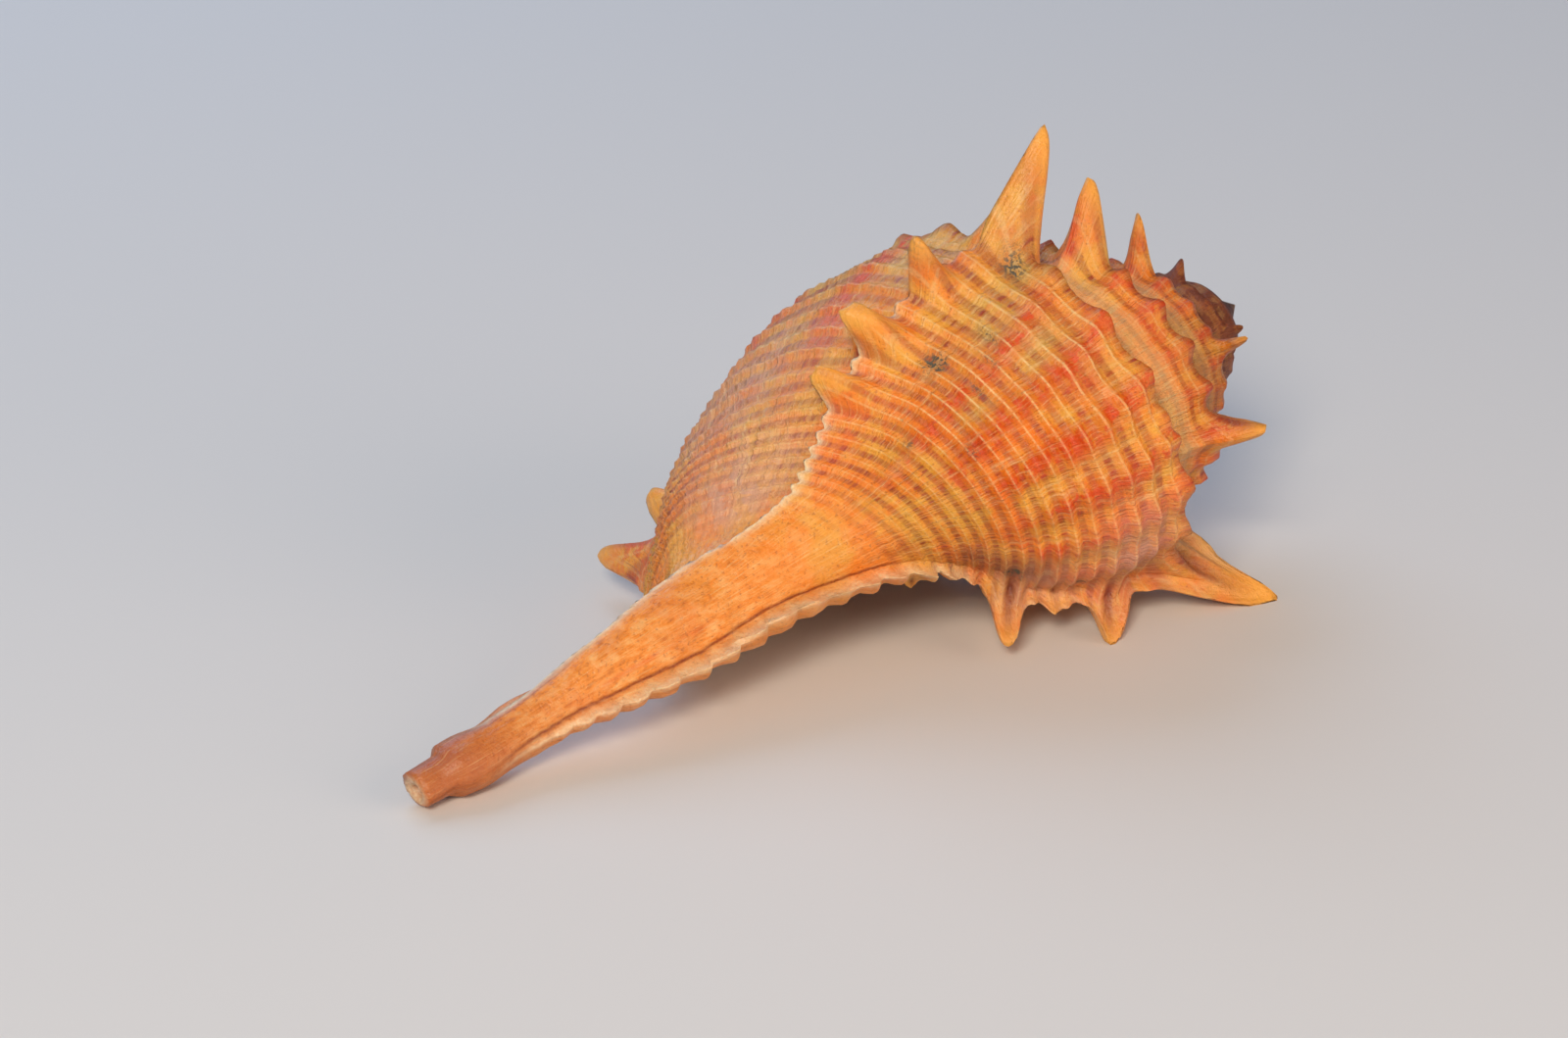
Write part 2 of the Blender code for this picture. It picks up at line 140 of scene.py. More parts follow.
def add_node(tree: Tree, kind: str, settings: dict, inputs: dict) -> bpy.types.Node:
    """Add a node with its settings and links.

    Args:
        tree: The material's node tree.
        kind: Blender's name for the node.
        settings: Values of the node's own properties.
        inputs: For each input, by name or number, a value or the output that feeds it.

    Returns:
        The new node.
    """
    node = tree.nodes.new(kind)
    for name, value in settings.items():
        setattr(node, name, value)
    for key, value in inputs.items():
        if isinstance(value, Socket):
            tree.links.new(value, node.inputs[key])
        else:
            node.inputs[key].default_value = value
    return node


def start_material(name: str, values: dict) -> tuple[bpy.types.Material, Tree, bpy.types.Node]:
    """Make a material and set its shader's sockets.

    Args:
        name: The material's name.
        values: Constants for the shader's sockets, by name.

    Returns:
        The material, its node tree and its shader.
    """
    material = bpy.data.materials.new(name)
    material.use_nodes = True
    shader = material.node_tree.nodes["Principled BSDF"]
    for socket, value in values.items():
        shader.inputs[socket].default_value = value
    return material, material.node_tree, shader


def place_object(name: str, data: bpy.types.ID) -> bpy.types.Object:
    """Make an object of a mesh, light or camera and put it in the scene."""
    made = bpy.data.objects.new(name, data)
    bpy.context.scene.collection.objects.link(made)
    return made


@dataclass(frozen=True)
class Station:
    """A place on the profile: how far it is from the pole and the axis, and how it grows."""

    from_pole: float
    radius: float
    share: float = 1.0
    late_drop: float = 0.0
    late_swell: float = 0.0


@dataclass(frozen=True)
class Varix:
    """A thick ridge left by a resting edge: its crest by row, its height and its two widths."""

    crest: tuple[tuple[float, float], ...]
    height: float
    older_width: float
    newer_width: float
    first_row: float
    last_row: float
    overhang: float = 0.0
    lobes: float = 0.0
    pale_from: float = 20.0
    pale_share: float = 1.0
    # foot_line sets the strength of the painted shade line in the crease at the varix's foot.
    foot_line: float = 0.0

    def growth_at(self, row: Array | float) -> Array:
        """Growth of the crest at each row."""
        return np.interp(row, *zip(*self.crest))


@dataclass(frozen=True)
class Spine:
    """A spine: where it stands, where its tip goes and how wide its foot is."""

    growth: float
    row: float
    height: float
    lean: float
    sweep: float
    along: float
    across: float
    groove: float = 0.4
    blunt: float = 1.5


@dataclass(frozen=True)
class Rib:
    """A low axial ridge between varices, with knobs where the cords cross it."""

    growth: float
    height: float
    width: float
    first_row: float
    last_row: float

    def crest(self, row: Array) -> Array:
        """Growth of the crest at each row: it leans to the older side and wanders a little."""
        lean = 3.2 * (np.clip(row, 3.0, 8.0) - 3.0)
        return self.growth - lean + 1.2 * np.sin(1.7 * row + self.growth)

    def span(self, row: Array) -> Array:
        """1 on the rows that the rib crosses, fading out at its two ends."""
        return (ramp(row, self.first_row, self.first_row + 0.8)
                * ramp(row, self.last_row, self.last_row - 1.5))


@dataclass(frozen=True)
class Places:
    """Points on the whorl by growth and row, with what else is measured there.

    along is the distance round the whorl from the lip and length the one down the profile from
    the suture, both in mm at the second varix. phase counts the main cords from the suture, and
    scale is the whorl's size, where the second varix has 1.
    """

    growth: Array
    row: Array
    along: Array
    length: Array
    phase: Array
    scale: Array

    @property
    def older(self) -> Array:
        """True on the whorls before the last one."""
        return self.growth < -FULL_TURN

    def wave(self, times: float = 1.0) -> Array:
        """A wave from -1 to 1 that peaks on each main cord, or several times as often."""
        return np.cos(TWO_PI * times * self.phase)


@dataclass
class WhorlProfile:
    """The smooth whorl: a profile that turns about the axis and grows each turn."""

    axial_growth: float = 1.51
    radial_growth: float = 1.42
    measured_at: float = -116.0
    late_from: float = -140.0
    late_to: float = -50.0
    seam_from_pole: float = 32.4
    seam_radius: float = 13.76
    girth_radius: float = 14.8
    stations: tuple[Station, ...] = ()
    ruler_rows: Array = field(default_factory=lambda: np.linspace(0.0, CANAL_TIP, 1401))

    def __post_init__(self) -> None:
        """Set out the stations and measure the profile's length."""
        self.stations = (
            Station(self.seam_from_pole / self.axial_growth, self.seam_radius / self.radial_growth),
            Station(21.9, 11.6),
            Station(22.7, 13.8),
            Station(24.2, 15.3, 1.0, 0.0, 0.2),
            Station(26.6, 15.4, 1.0, 0.3, 0.8),
            Station(29.9, self.girth_radius, 1.0, 1.9, 1.6),
            Station(34.8, 12.5, 1.0, 5.0, 1.5),
            Station(38.0, 10.3, 1.0, 7.4, 0.8),
            Station(42.5, 6.4, 1.0, 6.0, 1.8),
            Station(48.0, 4.0, 0.6, 5.0, 0.4),
            Station(57.5, 2.9, 0.2, 1.5, 0.1),
            Station(65.5, 2.3, 0.0),
            Station(71.5, 1.9, 0.0),
            Station(77.5, 1.85, 0.0),
            Station(81.5, 1.5, 0.0),
        )
        at = np.full(len(self.ruler_rows), self.measured_at)
        from_pole, radius = self.at(at, self.ruler_rows)
        steps = np.hypot(np.diff(from_pole), np.diff(radius))
        self.ruler_lengths = np.concatenate([[0.0], np.cumsum(steps)])

    def table(self, growth: Array) -> tuple[Array, Array]:
        """Lay out the stations as they are at each growth.

        Args:
            growth: The growths.

        Returns:
            Distance from the pole and radius of every station, one line for each growth.
        """
        turns = ((growth - self.measured_at) / FULL_TURN)[:, None]
        late = ramp(growth, self.late_from, self.late_to)[:, None]
        column = {name: np.array([getattr(s, name) for s in self.stations])
                  for name in ("from_pole", "radius", "share", "late_drop", "late_swell")}
        from_pole = column["from_pole"] * self.axial_growth ** (turns * column["share"])
        radius = column["radius"] * self.radial_growth ** (turns * column["share"])
        return from_pole + late * column["late_drop"], radius + late * column["late_swell"]

    def at(self, growth: Array, row: Array) -> tuple[Array, Array]:
        """Read the smooth curve through the stations.

        Args:
            growth: Growth of each point.
            row: Row of each point.

        Returns:
            Distance from the pole and radius of each point.
        """
        kinds, which = np.unique(growth, return_inverse=True)
        last = len(self.stations) - 1
        first = np.clip(np.floor(row).astype(int), 0, last - 1)
        before, after = np.clip(first - 1, 0, None), np.clip(first + 2, None, last)
        t = row - first
        t2, t3 = t * t, t * t * t
        found = []
        for table in self.table(kinds):
            p0, p1 = table[which, before], table[which, first]
            p2, p3 = table[which, first + 1], table[which, after]
            found.append((2 * t3 - 3 * t2 + 1) * p1 + (t3 - 2 * t2 + t) * 0.5 * (p2 - p0)
                         + (3 * t2 - 2 * t3) * p2 + (t3 - t2) * 0.5 * (p3 - p1))
        return found[0], found[1]

    def direction(self, growth: Array, row: Array, step: float = 0.02) -> tuple[Array, Array]:
        """Which way the profile runs at each point.

        Args:
            growth: Growth of each point.
            row: Row of each point.
            step: Rows on either side over which it is measured.

        Returns:
            The parts of one mm of profile away from the pole and away from the axis.
        """
        ahead = self.at(growth, np.minimum(row + step, CANAL_TIP))
        behind = self.at(growth, np.maximum(row - step, 0.0))
        run, rise = ahead[0] - behind[0], ahead[1] - behind[1]
        length = np.hypot(run, rise)
        return run / length, rise / length

    def length_at(self, row: Array) -> Array:
        """Length along the profile from the suture, in mm at the second varix."""
        return np.interp(row, self.ruler_rows, self.ruler_lengths)

    def row_at(self, length: Array) -> Array:
        """The row at a length along the profile."""
        return np.interp(length, self.ruler_lengths, self.ruler_rows)

    def rows_between(self, first: float, last: float, spacing: float) -> Array:
        """Space rows evenly along the profile.

        Args:
            first: The first row.
            last: The last row.
            spacing: The widest step, in mm.

        Returns:
            The rows, first and last included.
        """
        start, end = self.length_at(np.array([first, last]))
        count = int(math.ceil((end - start) / spacing)) + 1
        rows = self.row_at(np.linspace(start, end, count))
        rows[0], rows[-1] = first, last
        return rows


@dataclass
class ShellRelief:
    """Everything that stands on the smooth whorl: cords, growth lines, varices, ribs and spines."""

    profile: WhorlProfile
    lip_varix: float = -8.0
    top_varix: float = -116.0
    under_varix: float = -252.0
    near_ridge: float = -185.0
    spire_varix: float = -215.0
    cord_height: float = 0.4
    thread_height: float = 0.13
    line_height: float = 0.075
    line_spacing: float = 0.85
    bead_height: float = 0.2
    bead_spacing: float = 1.15
    lobe_spacing: float = 2.0
    spire_rib_height: float = 0.55
    spire_rib_turn: float = 19.0
    first_knob: float = -153.0
    knob_turn: float = 18.6
    spine_sharpness: float = 2.3
    # Pairs of a row and the spacing of the main cords there.
    cord_spacings: tuple[tuple[float, float], ...] = (
        (0.0, 1.7), (2.0, 1.9), (4.5, 2.1), (6.0, 1.7), (8.0, 1.2), (9.0, 1.1), (14.0, 1.1))

    def __post_init__(self) -> None:
        """Set out the varices, ribs and spines and count the cords."""
        top, under, lip, near = self.top_varix, self.under_varix, self.lip_varix, self.near_ridge
        spire = self.spire_varix
        top_crest = ((0.0, top), (7.3, top), (8.6, top - 1), (9.4, top + 3), (10.1, top + 8),
                     (12.7, top + 20), (14.0, top + 26))
        under_crest = ((0.0, under), (7.2, under), (8.3, under + 20), (9.4, under + 40),
                       (11.0, under + 36), (14.0, under + 30))
        self.varices = (
            Varix(((0.0, lip),), 1.5, 4.0, 1.2, 0.6, 9.0, 0.3),
            Varix(top_crest, 1.3, 3.2, 0.5, 0.6, 12.5, 0.5, 0.0, 5.2, 0.85),
            Varix(under_crest, 1.6, 2.6, 0.5, 0.6, 12.5, 0.6, 0.45, 7.4, 0.6, 0.8),
        ) + tuple(Varix(((0.0, growth - FULL_TURN),), 0.8, 2.4, 0.5, 0.3, 7.0)
                  for growth in (lip, top, spire))
        self.ribs = (
            Rib(-153.0, 0.65, 1.3, 2.8, 8.0),
            Rib(-171.6, 0.75, 1.4, 2.8, 7.8),
            Rib(-190.2, 0.7, 1.4, 2.8, 7.6),
            Rib(-208.8, 0.6, 1.4, 2.8, 7.6),
            Rib(-226.0, 0.4, 1.3, 2.8, 7.2),
            Rib(-136.0, 0.3, 1.2, 3.0, 8.6),
            Rib(-58.0, 0.4, 2.4, 1.4, 7.0),
            Rib(-85.0, 0.25, 2.0, 1.8, 7.0),
            Rib(-32.0, 0.25, 2.0, 1.8, 7.0),
            Rib(-285.0, 0.35, 2.0, 1.8, 6.5),
            Rib(-310.0, 0.35, 2.0, 1.8, 6.5),
        )
        self.spines = (
            Spine(top, SHOULDER, 7.6, 4.8, 0.3, 3.4, 3.0),
            Spine(top, 5.0, 4.2, -1.0, 0.3, 2.1, 1.8, 0.7, 1.7),
            Spine(top, 6.0, 3.2, -1.5, -0.6, 2.7, 2.1, 1.0, 3.0),
            Spine(top, 7.0, 2.4, -1.5, -0.5, 2.4, 1.8, 1.0, 2.2),
            Spine(under, SHOULDER, 6.9, 5.8, 0.4, 3.4, 3.2, 0.8),
            Spine(under, 5.0, 3.1, -2.3, 0.2, 2.6, 2.3, 0.75),
            Spine(under, 6.0, 0.8, -0.3, 0.0, 2.0, 1.6),
            Spine(under, 7.0, 3.2, -2.7, 0.0, 2.9, 2.3, 0.9),
            Spine(under, 8.45, 1.0, -0.6, 0.0, 1.8, 1.4),
            Spine(lip, SHOULDER, 10.4, 1.3, -6.4, 3.8, 3.2, 0.6),
            Spine(lip, 5.0, 4.2, -0.4, -1.0, 3.0, 2.6, 0.5),
            Spine(lip, 6.0, 5.0, 0.6, 3.8, 4.0, 3.4, 0.5),
            Spine(lip, 7.0, 7.8, 0.4, 1.4, 3.6, 3.0, 0.5),
            Spine(near, KEEL, 0.7, 0.3, 0.0, 2.6, 2.0, 0.0),
            Spine(-58.0, KEEL, 1.0, 0.4, 0.0, 2.8, 2.2, 0.0),
            Spine(lip - 360, SHOULDER, 3.1, 3.3, 0.0, 2.2, 2.0),
            Spine(top - 360, SHOULDER, 5.6, 1.8, -1.0, 2.8, 2.6),
            Spine(spire - 360, SHOULDER, 4.0, 1.4, -1.6, 2.4, 2.2),
            Spine(lip - 720, SHOULDER, 2.4, 2.1, 0.0, 1.6, 1.5),
            Spine(top - 720, SHOULDER, 4.5, 0.9, -0.7, 1.6, 1.5),
            Spine(near - 720, SHOULDER, 3.2, 0.9, -0.4, 1.2, 1.1),
            Spine(top - 1080, SHOULDER, 1.3, 1.0, 0.0, 1.2, 1.1),
            Spine(near - 1080, SHOULDER, 1.0, 1.0, 0.0, 1.1, 1.0),
        )
        spacing = np.interp(self.profile.ruler_rows, *zip(*self.cord_spacings))
        steps = np.diff(self.profile.ruler_lengths) / spacing[1:]
        self.phases = np.concatenate([[0.0], np.cumsum(steps)])

    def places(self, growth: Array, row: Array) -> Places:
        """Measure everything that a point's relief and colour depend on.

        Args:
            growth: Growth of each point.
            row: Row of each point.

        Returns:
            The points with their measures.
        """
        profile = self.profile
        return Places(
            growth, row,
            along=np.radians(growth) * profile.girth_radius,
            length=profile.length_at(row),
            phase=np.interp(row, profile.ruler_rows, self.phases),
            scale=profile.radial_growth ** ((growth - profile.measured_at) / FULL_TURN))

    def exposed(self, here: Places) -> Array:
        """1 on the weathered outside and 0 on the smooth wall within the aperture."""
        within = ramp(here.growth, -336.0, -356.0) * ramp(here.row, SEAM, SEAM + 0.5)
        return 1.0 - within * (here.growth >= -FULL_TURN)

    def panel(self, here: Places) -> Array:
        """1 on the finely netted part between the second varix and the outer lip."""
        across = (ramp(here.growth, self.top_varix + 2.0, self.top_varix + 10.0)
                  * ramp(here.growth, self.lip_varix - 4.0, self.lip_varix - 14.0))
        return across * ramp(here.row, 2.6, 3.4) * ramp(here.row, 9.6, 8.8)

    def near_suture(self, here: Places) -> Array:
        """1 on the pale strip of an older whorl just above the suture."""
        return ramp(here.row, 3.9, 4.4) * here.older

    def cords(self, here: Places) -> Array:
        """Raise the spiral cords and the threads between them.

        Args:
            here: The points.

        Returns:
            Height at each point.
        """
        wave = here.wave()
        main, thread = (0.5 + 0.5 * wave) ** 3, (0.5 - 0.5 * wave) ** 6
        span = ramp(here.row, 2.4, 2.9) * ramp(here.row, 9.3, 7.7)
        span = span * (1.0 - 0.45 * self.panel(here)) * (1.0 - 0.8 * self.near_suture(here))
        worn = 0.75 + 0.35 * noise(here.along / 5.0, here.phase * 0.9, 3.0)
        return span * worn * (self.cord_height * main + self.thread_height * thread)

    def growth_lines(self, here: Places) -> Array:
        """Raise the fine growth lines and, on the netted panel, the beads.

        Args:
            here: The points.

        Returns:
            Height at each point.
        """
        shift = 0.5 * noise(here.along / 4.0, here.length / 5.0, 7.0) + 0.1 * here.wave()
        line, bead = (0.5 + 0.5 * np.cos(TWO_PI * (here.along / spacing + shift))
                      for spacing in (self.line_spacing, self.bead_spacing))
        bead = bead * (0.5 + 0.5 * here.wave(2.0))
        strength = 0.6 + 0.6 * noise(here.along / 3.0, here.length / 6.0, 11.0)
        panel = self.panel(here)
        return self.line_height * line * strength * (1.0 - 0.5 * panel) + self.bead_height * bead * panel

    def swells(self, here: Places) -> Array:
        """Let the surface grow unevenly, in longer lumps on the canal.

        Args:
            here: The points.

        Returns:
            Height at each point.
        """
        canal = ramp(here.row, CANAL_START, CANAL_START + 1.5)
        broad = noise(here.along / 6.0, here.length / 7.0, 19.0)
        small = noise(here.along / 1.9, here.length / 2.1, 23.0)
        lumps = noise(here.growth / 70.0, here.length / 3.4, 61.0)
        return (0.22 * broad + 0.07 * small) * (1.0 - canal) + 0.3 * canal * lumps

    def spire_ribs(self, here: Places, width: float) -> Array:
        """The evenly spaced ribs of the older whorls, from 0 to 1."""
        half = self.spire_rib_turn / 2
        from_crest = np.mod(here.growth + half, 2 * half) - half
        return bell(from_crest, width) * here.older * ramp(here.row, 2.2, 2.8)

    def rib_heights(self, here: Places, radius: Array) -> Array:
        """Raise the low axial ribs, with knobs on the cords.

        Args:
            here: The points.
            radius: Radius of each point.

        Returns:
            Height at each point.
        """
        total = self.spire_rib_height * self.spire_ribs(here, 4.5) * here.scale
        total = total * (1.0 - 0.7 * self.near_suture(here))
        knobs = 0.45 + 0.75 * (0.5 + 0.5 * here.wave())
        for rib in self.ribs:
            from_crest = np.radians(here.growth - rib.crest(here.row)) * radius
            total += rib.height * bell(from_crest, rib.width) * rib.span(here.row) * knobs
        return total

    def ribbed(self, here: Places) -> Array:
        """Find the crests of the axial ribs, for their colour.

        Args:
            here: The points.

        Returns:
            1 on a crest, falling to 0 beside it.
        """
        total = self.spire_ribs(here, 3.6) * (1.0 - self.near_suture(here))
        for rib in self.ribs:
            total = np.maximum(total, rib.span(here.row) * bell(here.growth - rib.crest(here.row), 4.4))
        return total

    def keel(self, here: Places) -> Array:
        """Raise the knobbed ridge that runs back from the tallest spine.

        Args:
            here: The points.

        Returns:
            Height at each point.
        """
        across = here.length - self.profile.length_at(np.array([KEEL]))
        turned = np.where(here.older, np.mod(here.growth, self.spire_rib_turn),
                          np.mod(here.growth - self.first_knob, self.knob_turn))
        knobs = bell(np.minimum(turned, self.spire_rib_turn - turned), 4.6)
        return bell(across, 0.65) * (0.5 + 0.9 * knobs) * here.scale

    def varix_at(self, varix: Varix, here: Places, radius: Array) -> tuple[Array, Array]:
        """Raise one varix, fluted by the cords and lobed on the canal.

        Args:
            varix: The varix.
            here: The points.
            radius: Radius of each point.

        Returns:
            Distance past the crest in mm, and height in mm.
        """
        row, flute = here.row, here.wave()
        ragged = 0.3 * wander(here.length / 4.5, 31.0 + varix.height)
        past = np.radians(here.growth - varix.growth_at(row)) * radius - 0.05 * flute - ragged
        width = np.where(past < 0, varix.older_width, varix.newer_width)
        rise = np.clip(1.0 - np.abs(past) / width, 0.0, 1.0) ** 1.4
        span = (ramp(row, varix.first_row, varix.first_row + 1.2)
                * ramp(row, varix.last_row, varix.last_row - 2.5))
        uneven = 0.3 * wander(here.length / 5.0, 67.0)
        lobe = np.cos(TWO_PI * (here.length / self.lobe_spacing + uneven)) + 0.1
        lobe = 1.0 + varix.lobes * ramp(row, 7.4, 8.2) * lobe
        return past, varix.height * rise * span * (1.0 + 0.1 * flute * (row < 8.6)) * lobe

    def spine_at(self, spine: Spine, here: Places) -> tuple[Array, Array]:
        """Raise one spine with its groove.

        Args:
            spine: The spine.
            here: The points.

        Returns:
            Share of the spine's height that each point takes, and how deep in its groove it lies, which sets
            the painted shade in the groove.
        """
        from_pole, radius = self.profile.at(np.full(2, spine.growth), spine.row + np.array([-0.25, 0.25]))
        row_length = 2.0 * np.hypot(from_pole[1] - from_pole[0], radius[1] - radius[0])
        along = np.radians(here.growth - spine.growth) * radius.mean()
        across = (here.row - spine.row) * row_length
        distance = np.hypot(along / spine.along, across / spine.across)
        weight = spine.blunt * np.clip(1.0 - distance, 0.0, 1.0) ** self.spine_sharpness
        weight = weight / (1.0 + weight ** 5) ** 0.2
        size = spine.across / 2.8
        width = (0.28 + 0.3 * np.hypot(along, across)) * size
        groove = bell(across, width) * smooth_step((along - 0.12) / (0.7 * size))
        covered = np.where(here.older, ramp(here.row, SEAM, SEAM - 0.6), 1.0)
        # The groove's depth is passed on as painted shade.
        return (weight * covered * (1.0 - spine.groove * groove),
                groove * np.sqrt(weight) * (spine.groove > 0))


@dataclass
class CanalEnd:
    """The broken tip of the canal: a short narrow stump, a step and a swollen length behind it."""

    stump_length: float = 2.5
    stump_size: float = 0.84
    swollen_size: float = 1.12
    swollen_length: float = 4.2
    notch_at: float = 7.0
    face_radius: float = 0.95
    face_bulge: float = 0.12
    bore: float = 0.55
    bore_edge: float = 0.1
    bore_depth: float = 1.6

    def size(self, from_tip: Array, growth: Array) -> Array:
        """Shape the last few mm of the canal.

        Args:
            from_tip: Distance of each point from the tip.
            growth: Growth of each point.

        Returns:
            Share of the smooth radius that is left.
        """
        ragged = 0.35 * wander(growth / 40.0, 41.0)
        stump = smooth_step((self.stump_length + ragged - from_tip) / 0.35)
        swollen = (ramp(from_tip, self.stump_length, self.stump_length + 0.3)
                   * ramp(from_tip, self.notch_at, self.swollen_length))
        return 1.0 + (self.stump_size - 1.0) * stump + (self.swollen_size - 1.0) * swollen


@dataclass
class ShellSurface:
    """Places every point of the shell: the smooth whorl with its relief, turned about the axis."""

    profile: WhorlProfile
    relief: ShellRelief
    end: CanalEnd
    canal_tip_to_pole: float = 81.5
    axis_tilt: float = 11.6
    tip_at: tuple[float, float, float] = (-39.326, -4.735, 1.3)
    lip_angle: float = -115.0
    dish_share: float = 0.3
    slit_depth: float = 0.75

    def dish(self, growth: Array, row: Array) -> Array:
        """Share of the radius that is hollowed from the inner wall of the aperture."""
        return (self.dish_share * ramp(growth, -290.0, -342.0) * ramp(row, SEAM, SEAM + 1.2)
                * ramp(row, CANAL_START, CANAL_START - 2.0) * (growth >= -FULL_TURN - 200.0))

    def slit(self, growth: Array, row: Array, radius: Array) -> Array:
        """Depth of the open slit along the underside of the canal."""
        away = np.radians(np.minimum(np.abs(growth), np.abs(growth + FULL_TURN))) * radius
        span = ramp(row, CANAL_START, CANAL_START + 1.0) * ramp(row, 13.9, 13.6)
        return self.slit_depth * bell(away, 0.35) * span * (growth >= -FULL_TURN)

    def place(self, from_pole: Array, radius: Array, angle: Array) -> Array:
        """Turn measures about the axis into points, none below the floor.

        Args:
            from_pole: Distance of each point from the pole.
            radius: Distance of each point from the axis.
            angle: Angle of each point about the axis, 0 at the top.

        Returns:
            The points.
        """
        tilt, turn = math.radians(self.axis_tilt), np.radians(angle)
        along, up = self.canal_tip_to_pole - from_pole, radius * np.cos(turn)
        x = self.tip_at[0] + along * math.cos(tilt) - up * math.sin(tilt)
        y = self.tip_at[1] - radius * np.sin(turn)
        z = self.tip_at[2] + along * math.sin(tilt) + up * math.cos(tilt)
        return np.stack([x, y, np.maximum(z, 0.0)], axis=-1)

    def ridges(self, here: Places, radius: Array) -> dict[str, Array]:
        """Put the varices together.

        Args:
            here: The points.
            radius: Radius of each point.

        Returns:
            Their height, their overhang, their rim, its pale edge and the dark line of painted shade at its
            foot.
        """
        found = {name: np.zeros_like(radius) for name in ("height", "over", "rim", "pale", "hollow")}
        fading = ramp(here.row, 13.0, 12.0)
        for varix in self.relief.varices:
            past, height = self.relief.varix_at(varix, here, radius)
            edge = bell(past - 0.05, 0.26) * ramp(here.row, varix.pale_from, varix.pale_from + 0.5)
            # Painted shade: a dark line in the crease just past the varix's newer foot, on the lower rows.
            foot = bell(past - varix.newer_width - 0.15, 0.16) * ramp(here.row, 8.2, 8.8)
            found["over"] += varix.overhang * (height / varix.height) ** 2
            for name, value in (("height", height), ("rim", bell(past, 0.9) * (height > 0.0)),
                                ("pale", varix.pale_share * edge * fading),
                                ("hollow", varix.foot_line * foot * fading)):
                found[name] = np.maximum(found[name], value)
        return found

    def points(self, growth: Array, row: Array) -> tuple[Array, dict[str, Array]]:
        """Place points of the outside.

        Args:
            growth: Growth of each point.
            row: Row of each point.

        Returns:
            Points in mm, and for each surface mark its strength at each point.
        """
        relief = self.relief
        here = relief.places(growth, row)
        shown = relief.exposed(here)
        from_pole, radius = self.profile.at(growth, row)
        radius = radius * (1.0 - self.dish(growth, row))
        radius = radius * self.end.size(self.canal_tip_to_pole - from_pole, growth)
        ridge = self.ridges(here, radius)
        # hollow gathers painted shade from the varix feet and the spine grooves.
        weights, hollow, tip = np.zeros_like(radius), ridge["hollow"], np.zeros_like(radius)
        lift = np.zeros((3, len(radius)))
        for spine in relief.spines:
            weight, groove = relief.spine_at(spine, here)
            weights, hollow = np.maximum(weights, weight), np.maximum(hollow, groove)
            tip = np.maximum(tip, ramp(weight, 0.4, 0.95) * min(spine.height / 4.2, 1.0))
            lift += weight * np.array([[spine.height], [spine.lean], [spine.sweep]])
        fine = (relief.cords(here) + relief.growth_lines(here) + relief.swells(here)) * here.scale
        fine = fine * (1.0 - 0.75 * ridge["rim"]) + relief.rib_heights(here, radius) + relief.keel(here)
        fine = fine * (1.0 - 0.75 * smooth_step(weights * 2.5))
        worn = 0.2 + 0.8 * ramp(growth, -1080.0, -780.0)
        raised = worn * shown * (fine + ridge["height"]) - self.slit(growth, row, radius)
        run, rise = self.profile.direction(growth, row)
        from_pole = from_pole - raised * rise - lift[1]
        radius = radius + raised * run + lift[0]
        swung = np.degrees((lift[2] - ridge["over"]) / np.maximum(radius, 1.0))
        marks = {"tip": tip, "hollow": hollow, "inside": 1.0 - shown,
                 "pale": ridge["pale"] * (1.0 - smooth_step(weights * 1.4))}
        return self.place(from_pole, radius, self.lip_angle - growth + swung), marks


class Stain(Enum):
    """What a coloured spot on the shell is."""

    RED = "red"
    MAUVE = "mauve"
    DIRT = "dirt"
    OCHRE = "ochre"
    DARK = "dark"


@dataclass(frozen=True)
class Spot:
    """A stain: its centre by growth and row, its size both ways in mm and its strength."""

    growth: float
    row: float
    wide: float
    long: float
    strength: float


